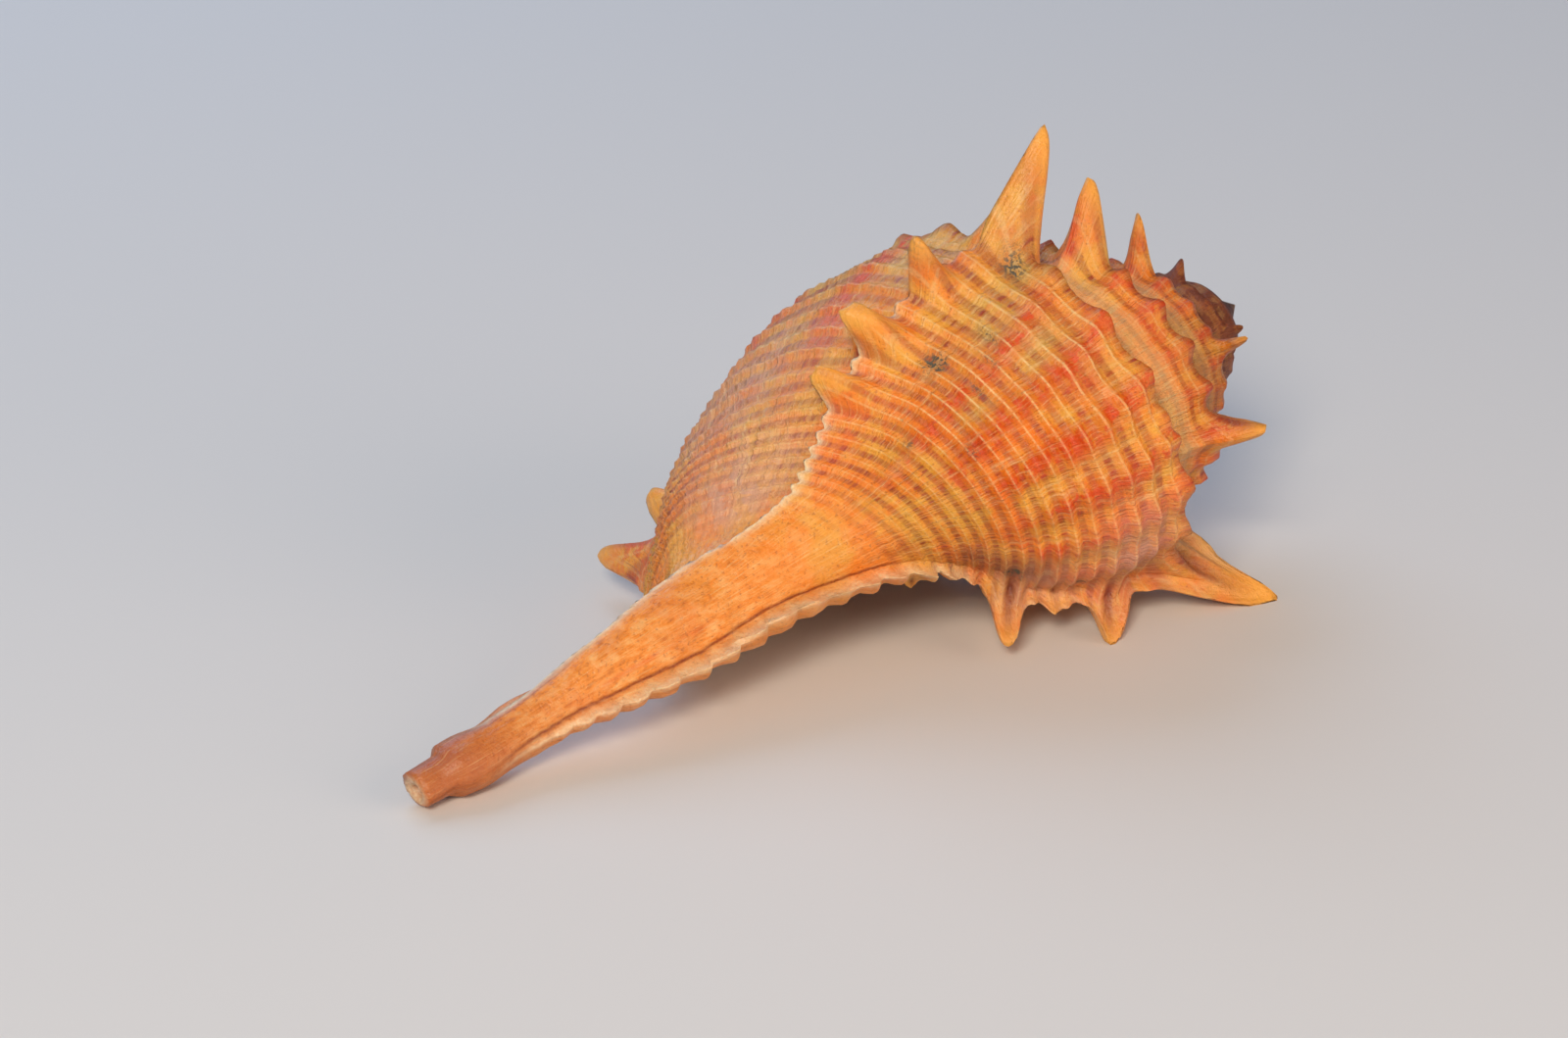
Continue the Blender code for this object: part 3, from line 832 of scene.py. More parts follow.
SPOTS = {
    Stain.RED: (
        Spot(-163.0, 4.6, 1.6, 2.0, 0.8), Spot(-165.0, 6.4, 1.7, 3.0, 0.7),
        Spot(-153.0, 3.0, 1.5, 0.9, 1.0), Spot(-172.0, 3.0, 1.6, 0.9, 1.0),
        Spot(-190.0, 3.0, 1.8, 0.8, 0.9), Spot(-208.0, 3.0, 1.8, 0.8, 0.6),
        Spot(-180.0, 5.4, 1.5, 3.6, 0.85), Spot(-197.0, 5.5, 1.4, 4.5, 0.6),
        Spot(-214.0, 6.6, 1.5, 4.0, 0.7), Spot(-172.0, 7.2, 3.0, 1.5, 0.7),
        Spot(-125.0, 7.4, 2.0, 3.0, 0.55), Spot(-130.0, 5.6, 2.0, 1.2, 0.4),
        Spot(-118.0, 2.7, 2.4, 1.6, 0.45), Spot(-108.0, 10.1, 0.8, 3.5, 0.6),
        Spot(-175.0, 10.6, 1.2, 5.0, 0.5), Spot(-20.0, 7.0, 5.0, 4.0, 0.9),
        Spot(-40.0, 7.4, 3.0, 3.0, 0.5), Spot(-250.0, 5.0, 2.0, 5.0, 0.4),
        Spot(-520.0, 3.6, 2.6, 2.0, 0.9), Spot(-498.0, 3.0, 1.2, 1.6, 0.8),
        Spot(-560.0, 3.2, 3.0, 2.0, 0.6),
    ),
    Stain.MAUVE: (
        Spot(-70.0, 6.4, 9.0, 6.0, 0.7), Spot(-88.0, 8.2, 6.0, 4.0, 0.9),
        Spot(-228.0, 4.6, 5.0, 4.0, 0.75), Spot(-242.0, 6.4, 4.0, 5.0, 0.7),
        Spot(-300.0, 5.0, 12.0, 9.0, 0.5), Spot(-101.0, 12.4, 2.2, 12.0, 1.2),
        Spot(-110.0, 4.6, 2.0, 2.5, 0.4),
    ),
    Stain.DARK: (
        Spot(-234.0, 7.0, 2.6, 4.6, 0.9), Spot(-240.0, 4.4, 2.2, 3.0, 0.6),
        Spot(-222.0, 7.6, 2.2, 2.6, 0.7), Spot(-206.0, 8.4, 3.0, 1.4, 0.5),
        Spot(-113.0, 12.4, 0.6, 11.0, 0.8), Spot(-100.0, 12.6, 2.4, 11.0, 0.45),
        Spot(-620.0, 2.0, 4.0, 2.6, 0.6), Spot(-545.0, 3.4, 7.0, 1.6, 0.4),
        Spot(-570.0, 2.4, 3.0, 1.4, 0.4),
    ),
    Stain.OCHRE: (
        Spot(-142.0, 4.8, 4.0, 4.0, 1.2), Spot(-150.0, 6.2, 2.4, 2.0, 0.9),
        Spot(-128.0, 3.4, 2.0, 1.6, 0.8), Spot(-162.0, 4.4, 1.6, 2.6, 0.9),
        Spot(-188.0, 5.0, 1.4, 3.2, 0.7), Spot(-486.0, 2.3, 3.0, 2.0, 0.9),
        Spot(-60.0, 4.0, 8.0, 4.0, 0.9), Spot(-92.0, 4.2, 4.0, 3.4, 0.7),
    ),
    Stain.DIRT: (
        Spot(-132.0, 5.95, 0.85, 0.9, 1.3), Spot(-126.0, 3.55, 0.9, 0.9, 0.9),
        Spot(-138.0, 5.25, 1.0, 0.35, 0.8), Spot(-145.0, 5.5, 0.9, 0.3, 0.6),
        Spot(-149.0, 5.9, 1.4, 0.25, 0.6), Spot(-146.0, 7.35, 0.7, 0.4, 0.6),
        Spot(-164.0, 6.8, 1.0, 0.35, 0.7), Spot(-236.0, 7.0, 0.9, 0.8, 1.1),
        Spot(-243.0, 5.6, 0.8, 1.6, 0.6), Spot(-112.0, 5.0, 1.2, 1.2, 0.5),
    ),
}


@dataclass
class Colouring:
    """Says what each point carries for the finishes: stains, bands and kinds of surface."""

    relief: ShellRelief

    def stains(self, here: Places) -> dict[str, Array]:
        """Add up the spots of each kind.

        Args:
            here: The points.

        Returns:
            For each kind of stain, its strength at each point.
        """
        found = {kind.value: np.zeros_like(here.growth) for kind in Stain}
        for kind, spots in SPOTS.items():
            for spot in spots:
                centre = self.relief.places(np.array([spot.growth]), np.array([spot.row]))
                away = np.hypot((here.along - centre.along) / spot.wide,
                                (here.length - centre.length) / spot.long)
                found[kind.value] += spot.strength * bell(away, 1.0)
        return found

    def marks(self, growth: Array, row: Array, surface: dict[str, Array]) -> Array:
        """Put everything that each point carries in one line of numbers.

        Args:
            growth: Growth of each point.
            row: Row of each point.
            surface: The surface marks of each point.

        Returns:
            A line for each point, in the order of the grid's names and then the marks' names.
        """
        here = self.relief.places(growth, row)
        apex = ramp(growth, -1000.0, -1180.0) + 0.6 * ramp(growth, -760.0, -1000.0)
        near = bell(growth + 150.0, 24.0) * ramp(row, 2.9, 3.4) * ramp(row, 7.9, 6.7)
        corded = ramp(row, 9.2, 7.8)
        found = {
            **surface, **self.stains(here), "cream": (0.4 + 0.6 * near) * corded,
            "apex": np.clip(apex, 0.0, 1.0), "canal": ramp(row, 11.2, 13.6), "corded": corded,
            "ribbed": self.relief.ribbed(here), "foot": ramp(row, 8.0, 10.4),
            "strip": np.maximum(self.relief.near_suture(here), ramp(row, 2.5, 2.1))}
        columns = [here.along, here.phase, here.length] + [found[name] for name in MARK_NAMES]
        return np.stack([np.broadcast_to(column, growth.shape) for column in columns], axis=-1)


@dataclass(frozen=True)
class WeatheredCalcite:
    """Outside of a beach-worn shell: grown calcite, satin, banded in oranges.

    It gives the eye warm ochre and orange with red growth bands, cream cord crests, painted shade in
    the furrows between cords and in creases, spine grooves and the canal's bore, and a soft low gloss
    that is broken by fine lines.
    """

    name: str = "weathered_calcite"
    ochre: str = "#EEAA38"
    sand: str = "#D0A64E"
    orange: str = "#F28412"
    amber: str = "#EE9434"
    strip: str = "#D9B478"
    red: str = "#DC4A02"
    # Dark brown: painted shade in the furrows between cords, and the real colour of pits and dark bands.
    groove: str = "#86320C"
    cream: str = "#F6D694"
    mauve: str = "#CF9E86"
    dark: str = "#702E20"
    tip: str = "#F6AC44"
    edge: str = "#F0E0BA"
    # Dark red-brown painted shade for the hollow mark: varix feet, spine grooves and the canal's bore.
    hollow: str = "#7A2A12"
    apex: str = "#78360E"
    dirt: str = "#5A5344"
    canal: str = "#A8562C"
    ior: float = 1.53
    roughness: float = 0.38
    dirt_roughness: float = 0.35
    glow: float = 0.05
    glow_mm: float = 0.8
    glow_reach: tuple[float, float, float] = (1.0, 0.45, 0.2)
    blotch_mm: float = 4.0
    cloud_mm: float = 5.5
    mottle_mm: float = 1.3
    grain_mm: float = 0.28

    def material(self) -> bpy.types.Material:
        """Build the material.

        Returns:
            The new material.
        """
        material, tree, shader = start_material(self.name, {
            "IOR": self.ior, "Subsurface Weight": self.glow,
            "Subsurface Radius": self.glow_reach, "Subsurface Scale": self.glow_mm * MM})
        masks = self.masks(tree)
        rough = add_node(tree, "ShaderNodeMapRange", {}, {
            "Value": masks["mottle"], "To Min": self.roughness - 0.08, "To Max": self.roughness + 0.14})
        rough = add_node(tree, "ShaderNodeMath", {"operation": "ADD", "use_clamp": True},
                         {0: rough.outputs[0], 1: masks["dirt_shine"]})
        tree.links.new(self.colour(tree, masks), shader.inputs["Base Color"])
        tree.links.new(rough.outputs[0], shader.inputs["Roughness"])
        tree.links.new(self.bump(tree, masks), shader.inputs["Normal"])
        return material

    def masks(self, tree: Tree) -> dict[str, Socket]:
        """Make the patterns that say where each colour lies.

        Args:
            tree: The material's node tree.

        Returns:
            The output of each pattern, by its name.
        """
        place = add_node(tree, "ShaderNodeTexCoord", {}, {}).outputs["Object"]
        grid = add_node(tree, "ShaderNodeAttribute", {"attribute_name": "shell_grid"}, {}).outputs["Vector"]
        found = dict(zip(GRID_NAMES, add_node(tree, "ShaderNodeSeparateXYZ", {}, {0: grid}).outputs))
        for name in MARK_NAMES:
            read = add_node(tree, "ShaderNodeAttribute", {"attribute_name": "shell_" + name}, {})
            found[name] = read.outputs["Fac"]
        for name, size_mm, detail, distortion in (
                ("blotch", self.blotch_mm, 3.0, 0.4), ("mottle", self.mottle_mm, 4.0, 0.2),
                ("cloud", self.cloud_mm, 5.0, 0.3), ("grain", self.grain_mm, 3.0, 0.0)):
            found[name] = add_node(tree, "ShaderNodeTexNoise", {}, {
                "Vector": place, "Scale": 1.0 / (size_mm * MM), "Detail": detail, "Roughness": 0.6,
                "Distortion": distortion}).outputs[0]
        # How many cells each pattern has per mm round the whorl, per cord and per mm down the profile.
        for name, cells in (("streak", (1.5, 0.0, 0.13)), ("ring", (0.22, 1.3, 0.0)),
                            ("hair", (4.5, 0.0, 0.5)), ("band", (0.3, 0.0, 0.75))):
            vector = add_node(tree, "ShaderNodeVectorMath", {"operation": "MULTIPLY"}, {0: grid, 1: cells})
            found[name] = add_node(tree, "ShaderNodeTexNoise", {}, {
                "Vector": vector.outputs[0], "Scale": 1.0, "Detail": 3.0, "Roughness": 0.65,
                "Distortion": 0.15}).outputs[0]
        turn = add_node(tree, "ShaderNodeMath", {"operation": "MULTIPLY"}, {0: found["phase"], 1: TWO_PI})
        wave = add_node(tree, "ShaderNodeMath", {"operation": "COSINE"}, {0: turn.outputs[0]})
        found["wave"] = wave.outputs[0]
        # Patterns with soft borders: each one's name, its source, and where it starts and is full.
        for name, source, low, high in (
                ("crest", "wave", 0.92, 1.0), ("valley", "wave", 0.0, -0.9),
                ("blotchy", "blotch", 0.38, 0.62),
                ("mottled", "mottle", 0.47, 0.55), ("streaky", "streak", 0.5, 0.68),
                ("dashes", "streak", 0.36, 0.56), ("specks", "grain", 0.45, 0.6),
                ("pits", "grain", 0.44, 0.3),
                ("hairs", "hair", 0.52, 0.66), ("pale_streak", "streak", 0.47, 0.3),
                ("ringed", "ring", 0.48, 0.66), ("cloudy", "cloud", 0.3, 0.72),
                ("banded", "band", 0.42, 0.7), ("banded_dark", "band", 0.5, 0.28)):
            found[name] = add_node(tree, "ShaderNodeMapRange", {"interpolation_type": "SMOOTHSTEP"}, {
                "Value": found[source], "From Min": low, "From Max": high}).outputs[0]
        # furrow_shade is painted shade in the valleys between the cords.
        for name, one, other in (
                ("cord_line", found["crest"], found["cream"]), ("furrow_shade", found["valley"], found["corded"]),
                ("streak_relief", found["streak"], found["corded"]),
                ("hair_relief", found["hair"], found["corded"]),
                ("dirt_shine", found["dirt"], self.dirt_roughness)):
            found[name] = add_node(tree, "ShaderNodeMath", {"operation": "MULTIPLY"},
                                   {0: one, 1: other}).outputs[0]
        found["weathered"] = add_node(tree, "ShaderNodeMath", {"operation": "SUBTRACT", "use_clamp": True},
                                      {0: 1.0, 1: found["tip"]}).outputs[0]
        return found

    def colour(self, tree: Tree, masks: dict[str, Socket]) -> Socket:
        """Lay the colours over each other, from the ground to the dirt.

        Args:
            tree: The material's node tree.
            masks: The patterns from masks().

        Returns:
            The finished colour.
        """
        below = add_node(tree, "ShaderNodeMix", {"data_type": "RGBA"}, {
            MIX_FACTOR: masks["blotchy"], MIX_A: linear(self.orange),
            MIX_B: linear(self.ochre)}).outputs[MIX_RESULT]
        # Each layer: its colour, the pattern that it needs, the one that breaks it up, how far the
        # broken one counts, and its strength.
        layers = (
            (self.sand, "ochre", "mottled", 0.4, 1.0),
            # Painted shade: the furrows between the cords darkened with the groove colour.
            (self.groove, "furrow_shade", "streaky", 0.55, 1.0),
            (self.red, "corded", "ringed", 1.0, 0.24),
            (self.red, "corded", "streaky", 1.0, 0.2),
            (self.red, "ribbed", "mottled", 0.5, 0.95),
            (self.amber, "foot", "cloudy", 0.5, 0.8),
            (self.cream, "foot", "banded", 1.0, 0.45),
            (self.red, "foot", "blotchy", 1.0, 0.4),
            (self.groove, "foot", "banded_dark", 1.0, 0.4),
            (self.groove, "weathered", "pits", 1.0, 0.42),
            (self.cream, "weathered", "hairs", 1.0, 0.3),
            (self.strip, "strip", "streaky", 0.5, 0.9),
            (self.mauve, "mauve", "mottled", 0.35, 1.0),
            (self.red, "red", "mottled", 0.7, 0.8),
            (self.dark, "dark", "ringed", 0.4, 0.9),
            (self.canal, "canal", "cloudy", 0.35, 1.0),
            (self.cream, "pale_streak", "mottled", 0.6, 0.35),
            (self.cream, "cord_line", "dashes", 0.9, 0.6),
            (self.tip, "tip", "mottled", 0.1, 1.0),
            (self.edge, "pale", "specks", 0.3, 1.1),
            # Painted shade in creases, spine grooves and the canal's bore.
            (self.hollow, "hollow", "specks", 0.2, 1.2),
            (self.apex, "apex", "mottled", 0.3, 1.1),
            (self.dirt, "dirt", "specks", 0.75, 1.5),
        )
        for colour, needed, broken, share, strength in layers:
            part = add_node(tree, "ShaderNodeMapRange", {}, {
                "Value": masks[broken], "To Min": strength * (1.0 - share), "To Max": strength}).outputs[0]
            factor = add_node(tree, "ShaderNodeMath", {"operation": "MULTIPLY", "use_clamp": True},
                              {0: masks[needed], 1: part}).outputs[0]
            below = add_node(tree, "ShaderNodeMix", {"data_type": "RGBA"}, {
                MIX_FACTOR: factor, MIX_A: below, MIX_B: linear(colour)}).outputs[MIX_RESULT]
        return below

    def bump(self, tree: Tree, masks: dict[str, Socket]) -> Socket:
        """Add relief too fine for the mesh, in real heights.

        Args:
            tree: The material's node tree.
            masks: The patterns from masks().

        Returns:
            The bumped normal.
        """
        normal = None
        for source, height_mm in (("streak_relief", 0.24), ("hair_relief", 0.12), ("mottle", 0.18),
                                  ("grain", 0.08)):
            inputs = {"Height": masks[source], "Distance": height_mm * MM, "Strength": 1.0}
            if normal is not None:
                inputs["Normal"] = normal
            normal = add_node(tree, "ShaderNodeBump", {}, inputs).outputs[0]
        return normal


@dataclass(frozen=True)
class ApertureEnamel:
    """Inside of the aperture: smooth grown enamel, glossier and paler than the outside.

    It gives the eye a clean porcelain surface, cream at the lip and apricot further in.
    """

    name: str = "aperture_enamel"
    lip: str = "#F2DCB4"
    deep: str = "#D98A4E"
    ior: float = 1.53
    roughness: float = 0.26
    glow: float = 0.12
    glow_mm: float = 0.8
    glow_reach: tuple[float, float, float] = (1.0, 0.5, 0.3)
    cloud_mm: float = 5.0

    def material(self) -> bpy.types.Material:
        """Build the material.

        Returns:
            The new material.
        """
        material, tree, shader = start_material(self.name, {
            "IOR": self.ior, "Roughness": self.roughness, "Subsurface Weight": self.glow,
            "Subsurface Radius": self.glow_reach, "Subsurface Scale": self.glow_mm * MM})
        inside = add_node(tree, "ShaderNodeAttribute", {"attribute_name": "shell_inside"}, {}).outputs["Fac"]
        place = add_node(tree, "ShaderNodeTexCoord", {}, {}).outputs["Object"]
        cloud = add_node(tree, "ShaderNodeTexNoise", {}, {
            "Vector": place, "Scale": 1.0 / (self.cloud_mm * MM), "Detail": 2.0}).outputs[0]
        uneven = add_node(tree, "ShaderNodeMapRange", {}, {"Value": cloud, "To Min": -0.25, "To Max": 0.25})
        depth = add_node(tree, "ShaderNodeMath", {"operation": "ADD", "use_clamp": True},
                         {0: inside, 1: uneven.outputs[0]})
        colour = add_node(tree, "ShaderNodeMix", {"data_type": "RGBA"}, {
            MIX_FACTOR: depth.outputs[0], MIX_A: linear(self.lip), MIX_B: linear(self.deep)})
        tree.links.new(colour.outputs[MIX_RESULT], shader.inputs["Base Color"])
        return material


@dataclass
class MeshParts:
    """Collects points, their marks and faces for one mesh."""

    points: list[Array] = field(default_factory=list)
    marks: list[Array] = field(default_factory=list)
    faces: list[list[int]] = field(default_factory=list)
    inner_faces: list[list[int]] = field(default_factory=list)
    count: int = 0

    def add(self, points: Array, marks: Array) -> Array:
        """Add points.

        Args:
            points: The points in mm.
            marks: A line of marks for each point.

        Returns:
            The points' numbers in the mesh.
        """
        numbers = np.arange(self.count, self.count + len(points))
        self.points.append(points)
        self.marks.append(marks)
        self.count += len(points)
        return numbers

    def face(self, corners: tuple, inner: bool = False) -> None:
        """Add a face, unless its corners fall together.

        Args:
            corners: Numbers of its corners.
            inner: Whether it lies inside the aperture.
        """
        kept = list(dict.fromkeys(int(corner) for corner in corners))
        if len(kept) > 2:
            (self.inner_faces if inner else self.faces).append(kept)

    def strip(self, newer: Array, older: Array, inner: bool = False) -> None:
        """Join two lists of points of the same length with four-sided faces."""
        for n0, n1, o0, o1 in zip(newer[:-1], newer[1:], older[:-1], older[1:]):
            self.face((n1, o1, o0, n0), inner)

    def zip_up(self, older: Array, newer: Array, inner: bool = False) -> None:
        """Join two lists of points of different lengths with triangles.

        Args:
            older: The one list.
            newer: The other.
            inner: Whether the faces lie inside the aperture.
        """
        i, j, last_i, last_j = 0, 0, len(older) - 1, len(newer) - 1
        while i < last_i or j < last_j:
            if i < last_i and (j == last_j or (i + 1) / last_i <= (j + 1) / last_j):
                self.face((older[i + 1], older[i], newer[j]), inner)
                i += 1
            else:
                self.face((newer[j + 1], older[i], newer[j]), inner)
                j += 1


@dataclass
class MurexShell:
    """The whole shell as one closed piece."""

    surface: ShellSurface
    colouring: Colouring
    outside: WeatheredCalcite
    inside: ApertureEnamel
    name: str = "murex_shell_grown"
    body: str = "root"
    row_spacing: float = 0.27
    canal_spacing: float = 0.5
    column_step: float = 1.25
    crest_step: float = 0.5
    # Rows on each older whorl, the oldest first.
    older_rows: tuple[int, ...] = (7, 11, 17, 26)
    thinning: int = 3
    apex_from_pole: float = 0.9
    hollow_growths: tuple[float, ...] = (-0.5, -1.4, -2.6, -4.2, -6.2, -8.6, -12.0, -16.0, -22.0, -30.0,
                                         -40.0, -50.0, -60.0, -72.0, -85.0, -98.0)
    # Pairs of a row at the open edge and the row of the hollow's wall that it leads to.
    outer_lead: tuple[tuple[float, float], ...] = (
        (0.0, 1.6), (3.0, 3.2), (7.0, 6.2), (9.2, 7.7), (11.0, 8.6))
    inner_lead: tuple[tuple[float, float], ...] = ((SEAM, SEAM + 0.25), (7.0, 7.11), (9.2, 8.7), (11.0, 9.6))
    # Pairs of an angle inwards and the share of the hollow that has closed there.
    closing: tuple[tuple[float, float], ...] = (
        (8.0, 0.0), (22.0, 0.03), (40.0, 0.1), (60.0, 0.22), (82.0, 0.45), (98.0, 0.8))
    wall: float = 1.3
    lip_edge: float = 0.9
    ridge_height: float = 0.4
    inner_lag: float = 363.0

    def columns(self) -> Array:
        """Set out one turn's columns, closer together at the varices.

        Returns:
            Their growths, over one whole turn that ends just past the lip.
        """
        relief = self.surface.relief
        crests = (relief.lip_varix, relief.top_varix, relief.under_varix)
        growths = [-FULL_TURN]
        while growths[-1] < 0.0:
            near = any(-6.0 <= growths[-1] - crest <= 5.0 for crest in crests)
            growths.append(growths[-1] + (self.crest_step if near else self.column_step))
        places = np.arange(len(growths))
        wanted = self.thinning * (len(growths) // self.thinning) + 1
        growths = np.array(growths) * (FULL_TURN / (FULL_TURN + growths[-1]))
        return np.interp(np.linspace(0, places[-1], wanted), places, growths)

    def follow(self, growths: Array, row: float) -> Array:
        """Keep the same columns on the crests of the two slanting varices.

        Args:
            growths: The columns' growths.
            row: The row.

        Returns:
            The growths of the columns' points on that row.
        """
        placed, moved = [-FULL_TURN], [-FULL_TURN]
        for varix in (self.surface.relief.varices[2], self.surface.relief.varices[1]):
            crest = varix.crest[0][1]
            shift = float(varix.growth_at(row)) - crest
            for side in (-8.0, 7.0):
                placed.append(crest + side)
                moved.append(crest + side + shift)
        return np.interp(growths, placed + [-20.0, 0.0], moved + [-20.0, 0.0])

    def lay_block(self, parts: MeshParts, growths: Array, rows: Array) -> Array:
        """Add a grid of outside points.

        Args:
            parts: Where the points go.
            growths: The columns' growths.
            rows: The rows.

        Returns:
            The points' numbers, a line for each growth.
        """
        growth, row = np.meshgrid(growths, rows, indexing="ij")
        if growths[0] >= -FULL_TURN:
            growth = np.stack([self.follow(growths, float(at)) for at in rows], axis=1)
        growth, row = growth.ravel(), row.ravel()
        points, marks = self.surface.points(growth, row)
        numbers = parts.add(points, self.colouring.marks(growth, row, marks))
        return numbers.reshape(len(growths), len(rows))

    def lay_outside(self, parts: MeshParts) -> tuple[Array, Array, int, int]:
        """Build the whorls, the apex and the canal.

        Args:
            parts: Where the points and faces go.

        Returns:
            The last whorl's point numbers, its rows, and the places of the seam and closed rows.
        """
        profile = self.surface.profile
        spire = profile.rows_between(0.0, SEAM, self.row_spacing)
        body = profile.rows_between(SEAM, CANAL_START, self.row_spacing)
        open_canal = profile.rows_between(CANAL_START, CANAL_CLOSED, self.canal_spacing * 1.4)
        closed_canal = profile.rows_between(CANAL_CLOSED, CANAL_TIP, self.canal_spacing)
        last_rows = np.concatenate([spire, body[1:], open_canal[1:], closed_canal[1:]])
        seam = len(spire) - 1
        closed = seam + len(body) - 1 + len(open_canal) - 1
        seam_length = profile.length_at(np.array([SEAM]))[0]
        whorls = [profile.row_at(np.linspace(0.0, seam_length, count)) for count in self.older_rows]
        blocks = []
        for number, rows in enumerate(whorls + [last_rows]):
            back = len(whorls) - number
            block = self.lay_block(parts, self.columns() - FULL_TURN * back, rows)
            if blocks:
                joint = len(rows) - 1 if back else seam
                block[:-1, 0] = blocks[-1][:-1, -1]
                block[-1, 0] = block[0, joint]
                parts.zip_up(blocks[-1][-2], block[0, : joint + 1])
            if not back:
                block[-1, closed:] = block[0, closed:]
            joined = block[:-1] if back else block[:, : closed + 1]
            for older, newer in zip(joined, joined[1:]):
                parts.strip(newer, older)
            blocks.append(block)
        self.close_apex(parts, blocks[0], blocks[1])
        self.lay_canal(parts, blocks[-1], closed)
        return blocks[-1], last_rows, seam, closed

    def close_apex(self, parts: MeshParts, first: Array, second: Array) -> None:
        """Cap the first whorl with a blunt point.

        Args:
            parts: Where the faces go.
            first: Point numbers of the first whorl.
            second: Point numbers of the second whorl.
        """
        loop = list(first[:-1, 0]) + [second[0, 0]] + list(first[0][::-1][1:])
        pole = self.surface.place(np.array([self.apex_from_pole]), np.array([0.0]), np.array([0.0]))
        growth = np.array([-FULL_TURN * (len(self.older_rows) + 1)])
        bare = {name: np.zeros(1) for name in SURFACE_MARKS}
        top = parts.add(pole, self.colouring.marks(growth, np.zeros(1), bare))[0]
        for here, there in zip(loop, loop[1:]):
            parts.face((top, there, here))

    def lay_canal(self, parts: MeshParts, block: Array, closed: int) -> None:
        """Build the closed canal with a third of the columns, and its broken end.

        Args:
            parts: Where the faces go.
            block: Point numbers of the last whorl.
            closed: Place of the row where the canal is closed.
        """
        step = self.thinning
        for c in range(0, len(block) - 1, step):
            upper = [block[c + k, closed] for k in range(step + 1)]
            low0, low3 = block[c, closed + 1], block[c + step, closed + 1]
            parts.face((low0, upper[0], upper[1]))
            parts.face((low0, upper[1], upper[2], low3))
            parts.face((low3, upper[2], upper[3]))
        thin = block[::step]
        for older, newer in zip(thin, thin[1:]):
            parts.strip(newer[closed + 1 :], older[closed + 1 :])
        self.close_canal(parts, thin[:-1, -1])

    def close_canal(self, parts: MeshParts, rim: Array) -> None:
        """Turn the broken end inwards round a small bore.

        Args:
            parts: Where the points and faces go.
            rim: Point numbers round the end.
        """
        end, tip = self.surface.end, self.surface.canal_tip_to_pole
        count = len(rim)
        growths = np.linspace(-FULL_TURN, 0.0, count, endpoint=False)
        ring = rim
        for radius, back in ((end.face_radius, -end.face_bulge), (end.bore, end.bore_edge),
                             (end.bore * 0.9, end.bore_depth)):
            ragged = 1.0 + 0.15 * wander(growths / 30.0, 53.0 + back)
            points = self.surface.place(np.full(count, tip - back), radius * ragged,
                                        self.surface.lip_angle - growths)
            # Painted shade: the deepest ring of the bore gets the full hollow mark, the outer rings get half
            # the pale mark.
            deep = back > end.bore_edge
            marks = {name: np.zeros(count) for name in SURFACE_MARKS}
            marks["hollow" if deep else "pale"] += 1.0 if deep else 0.5
            inner = parts.add(points, self.colouring.marks(growths, np.full(count, CANAL_TIP), marks))
            for k in range(count):
                after = (k + 1) % count
                parts.face((ring[k], ring[after], inner[after], inner[k]))
            ring = inner
        centre = self.surface.place(np.array([tip - end.bore_depth]), np.array([0.0]), np.array([0.0]))
        # The centre of the bore carries every surface mark at full, the hollow mark's painted shade among
        # them.
        full = {name: np.ones(1) for name in SURFACE_MARKS}
        middle = parts.add(centre, self.colouring.marks(np.zeros(1), np.full(1, CANAL_TIP), full))[0]
        for k in range(count):
            parts.face((ring[k], ring[(k + 1) % count], middle))

    def wall_side(self, growth: float, rows: Array) -> Array:
        """Find the inside of the outer wall, with fine ridges behind the lip.

        Args:
            growth: The growth.
            rows: The rows.

        Returns:
            Distance from the pole and radius of each point.
        """
        profile, relief = self.surface.profile, self.surface.relief
        growths = np.full(len(rows), growth)
        from_pole, radius = profile.at(growths, rows)
        run, rise = profile.direction(growths, rows, 0.05)
        ridge = (0.5 + 0.5 * relief.places(growths, rows).wave()) ** 2
        wall = float(np.interp(-growth, (0.5, 3.0), (self.lip_edge, self.wall)))
        wall = wall + self.ridge_height * ridge * bell(growth + 5.0, 5.0)
        return np.stack([from_pole + wall * rise, radius - wall * run], axis=-1)

    def axis_side(self, growth: float, rows: Array) -> Array:
        """Distance from the pole and radius on the wall of the hollow nearest the axis."""
        growths = np.full(len(rows), growth)
        from_pole, radius = self.surface.profile.at(growths, rows)
        return np.stack([from_pole, radius * (1.0 - self.surface.dish(growths, rows))], axis=-1)

    def hollow_walls(self, growth: float, outer_rows: Array, inner_rows: Array) -> tuple[Array, Array]:
        """Lay both walls of the hollow at one growth, drawn together further in.

        Args:
            growth: The growth.
            outer_rows: Rows on the outer wall.
            inner_rows: Rows on the wall nearest the axis.

        Returns:
            Distance from the pole and radius along each wall.
        """
        outer, inner = self.wall_side(growth, outer_rows), self.axis_side(growth - self.inner_lag, inner_rows)
        along_outer, along_inner = (np.linspace(0.0, 1.0, len(side)) for side in (outer, inner))
        inner_here = np.stack([np.interp(along_outer, along_inner, inner[:, k]) for k in (0, 1)], axis=-1)
        outer_there = np.stack([np.interp(along_inner, along_outer, outer[:, k]) for k in (0, 1)], axis=-1)
        share = 0.5 * float(np.interp(-growth, *zip(*self.closing)))
        outer, inner = outer + share * (inner_here - outer), inner + share * (outer_there - inner)
        for end in (0, -1):
            outer[end] = inner[end] = 0.5 * (outer[end] + inner[end])
        return outer, inner

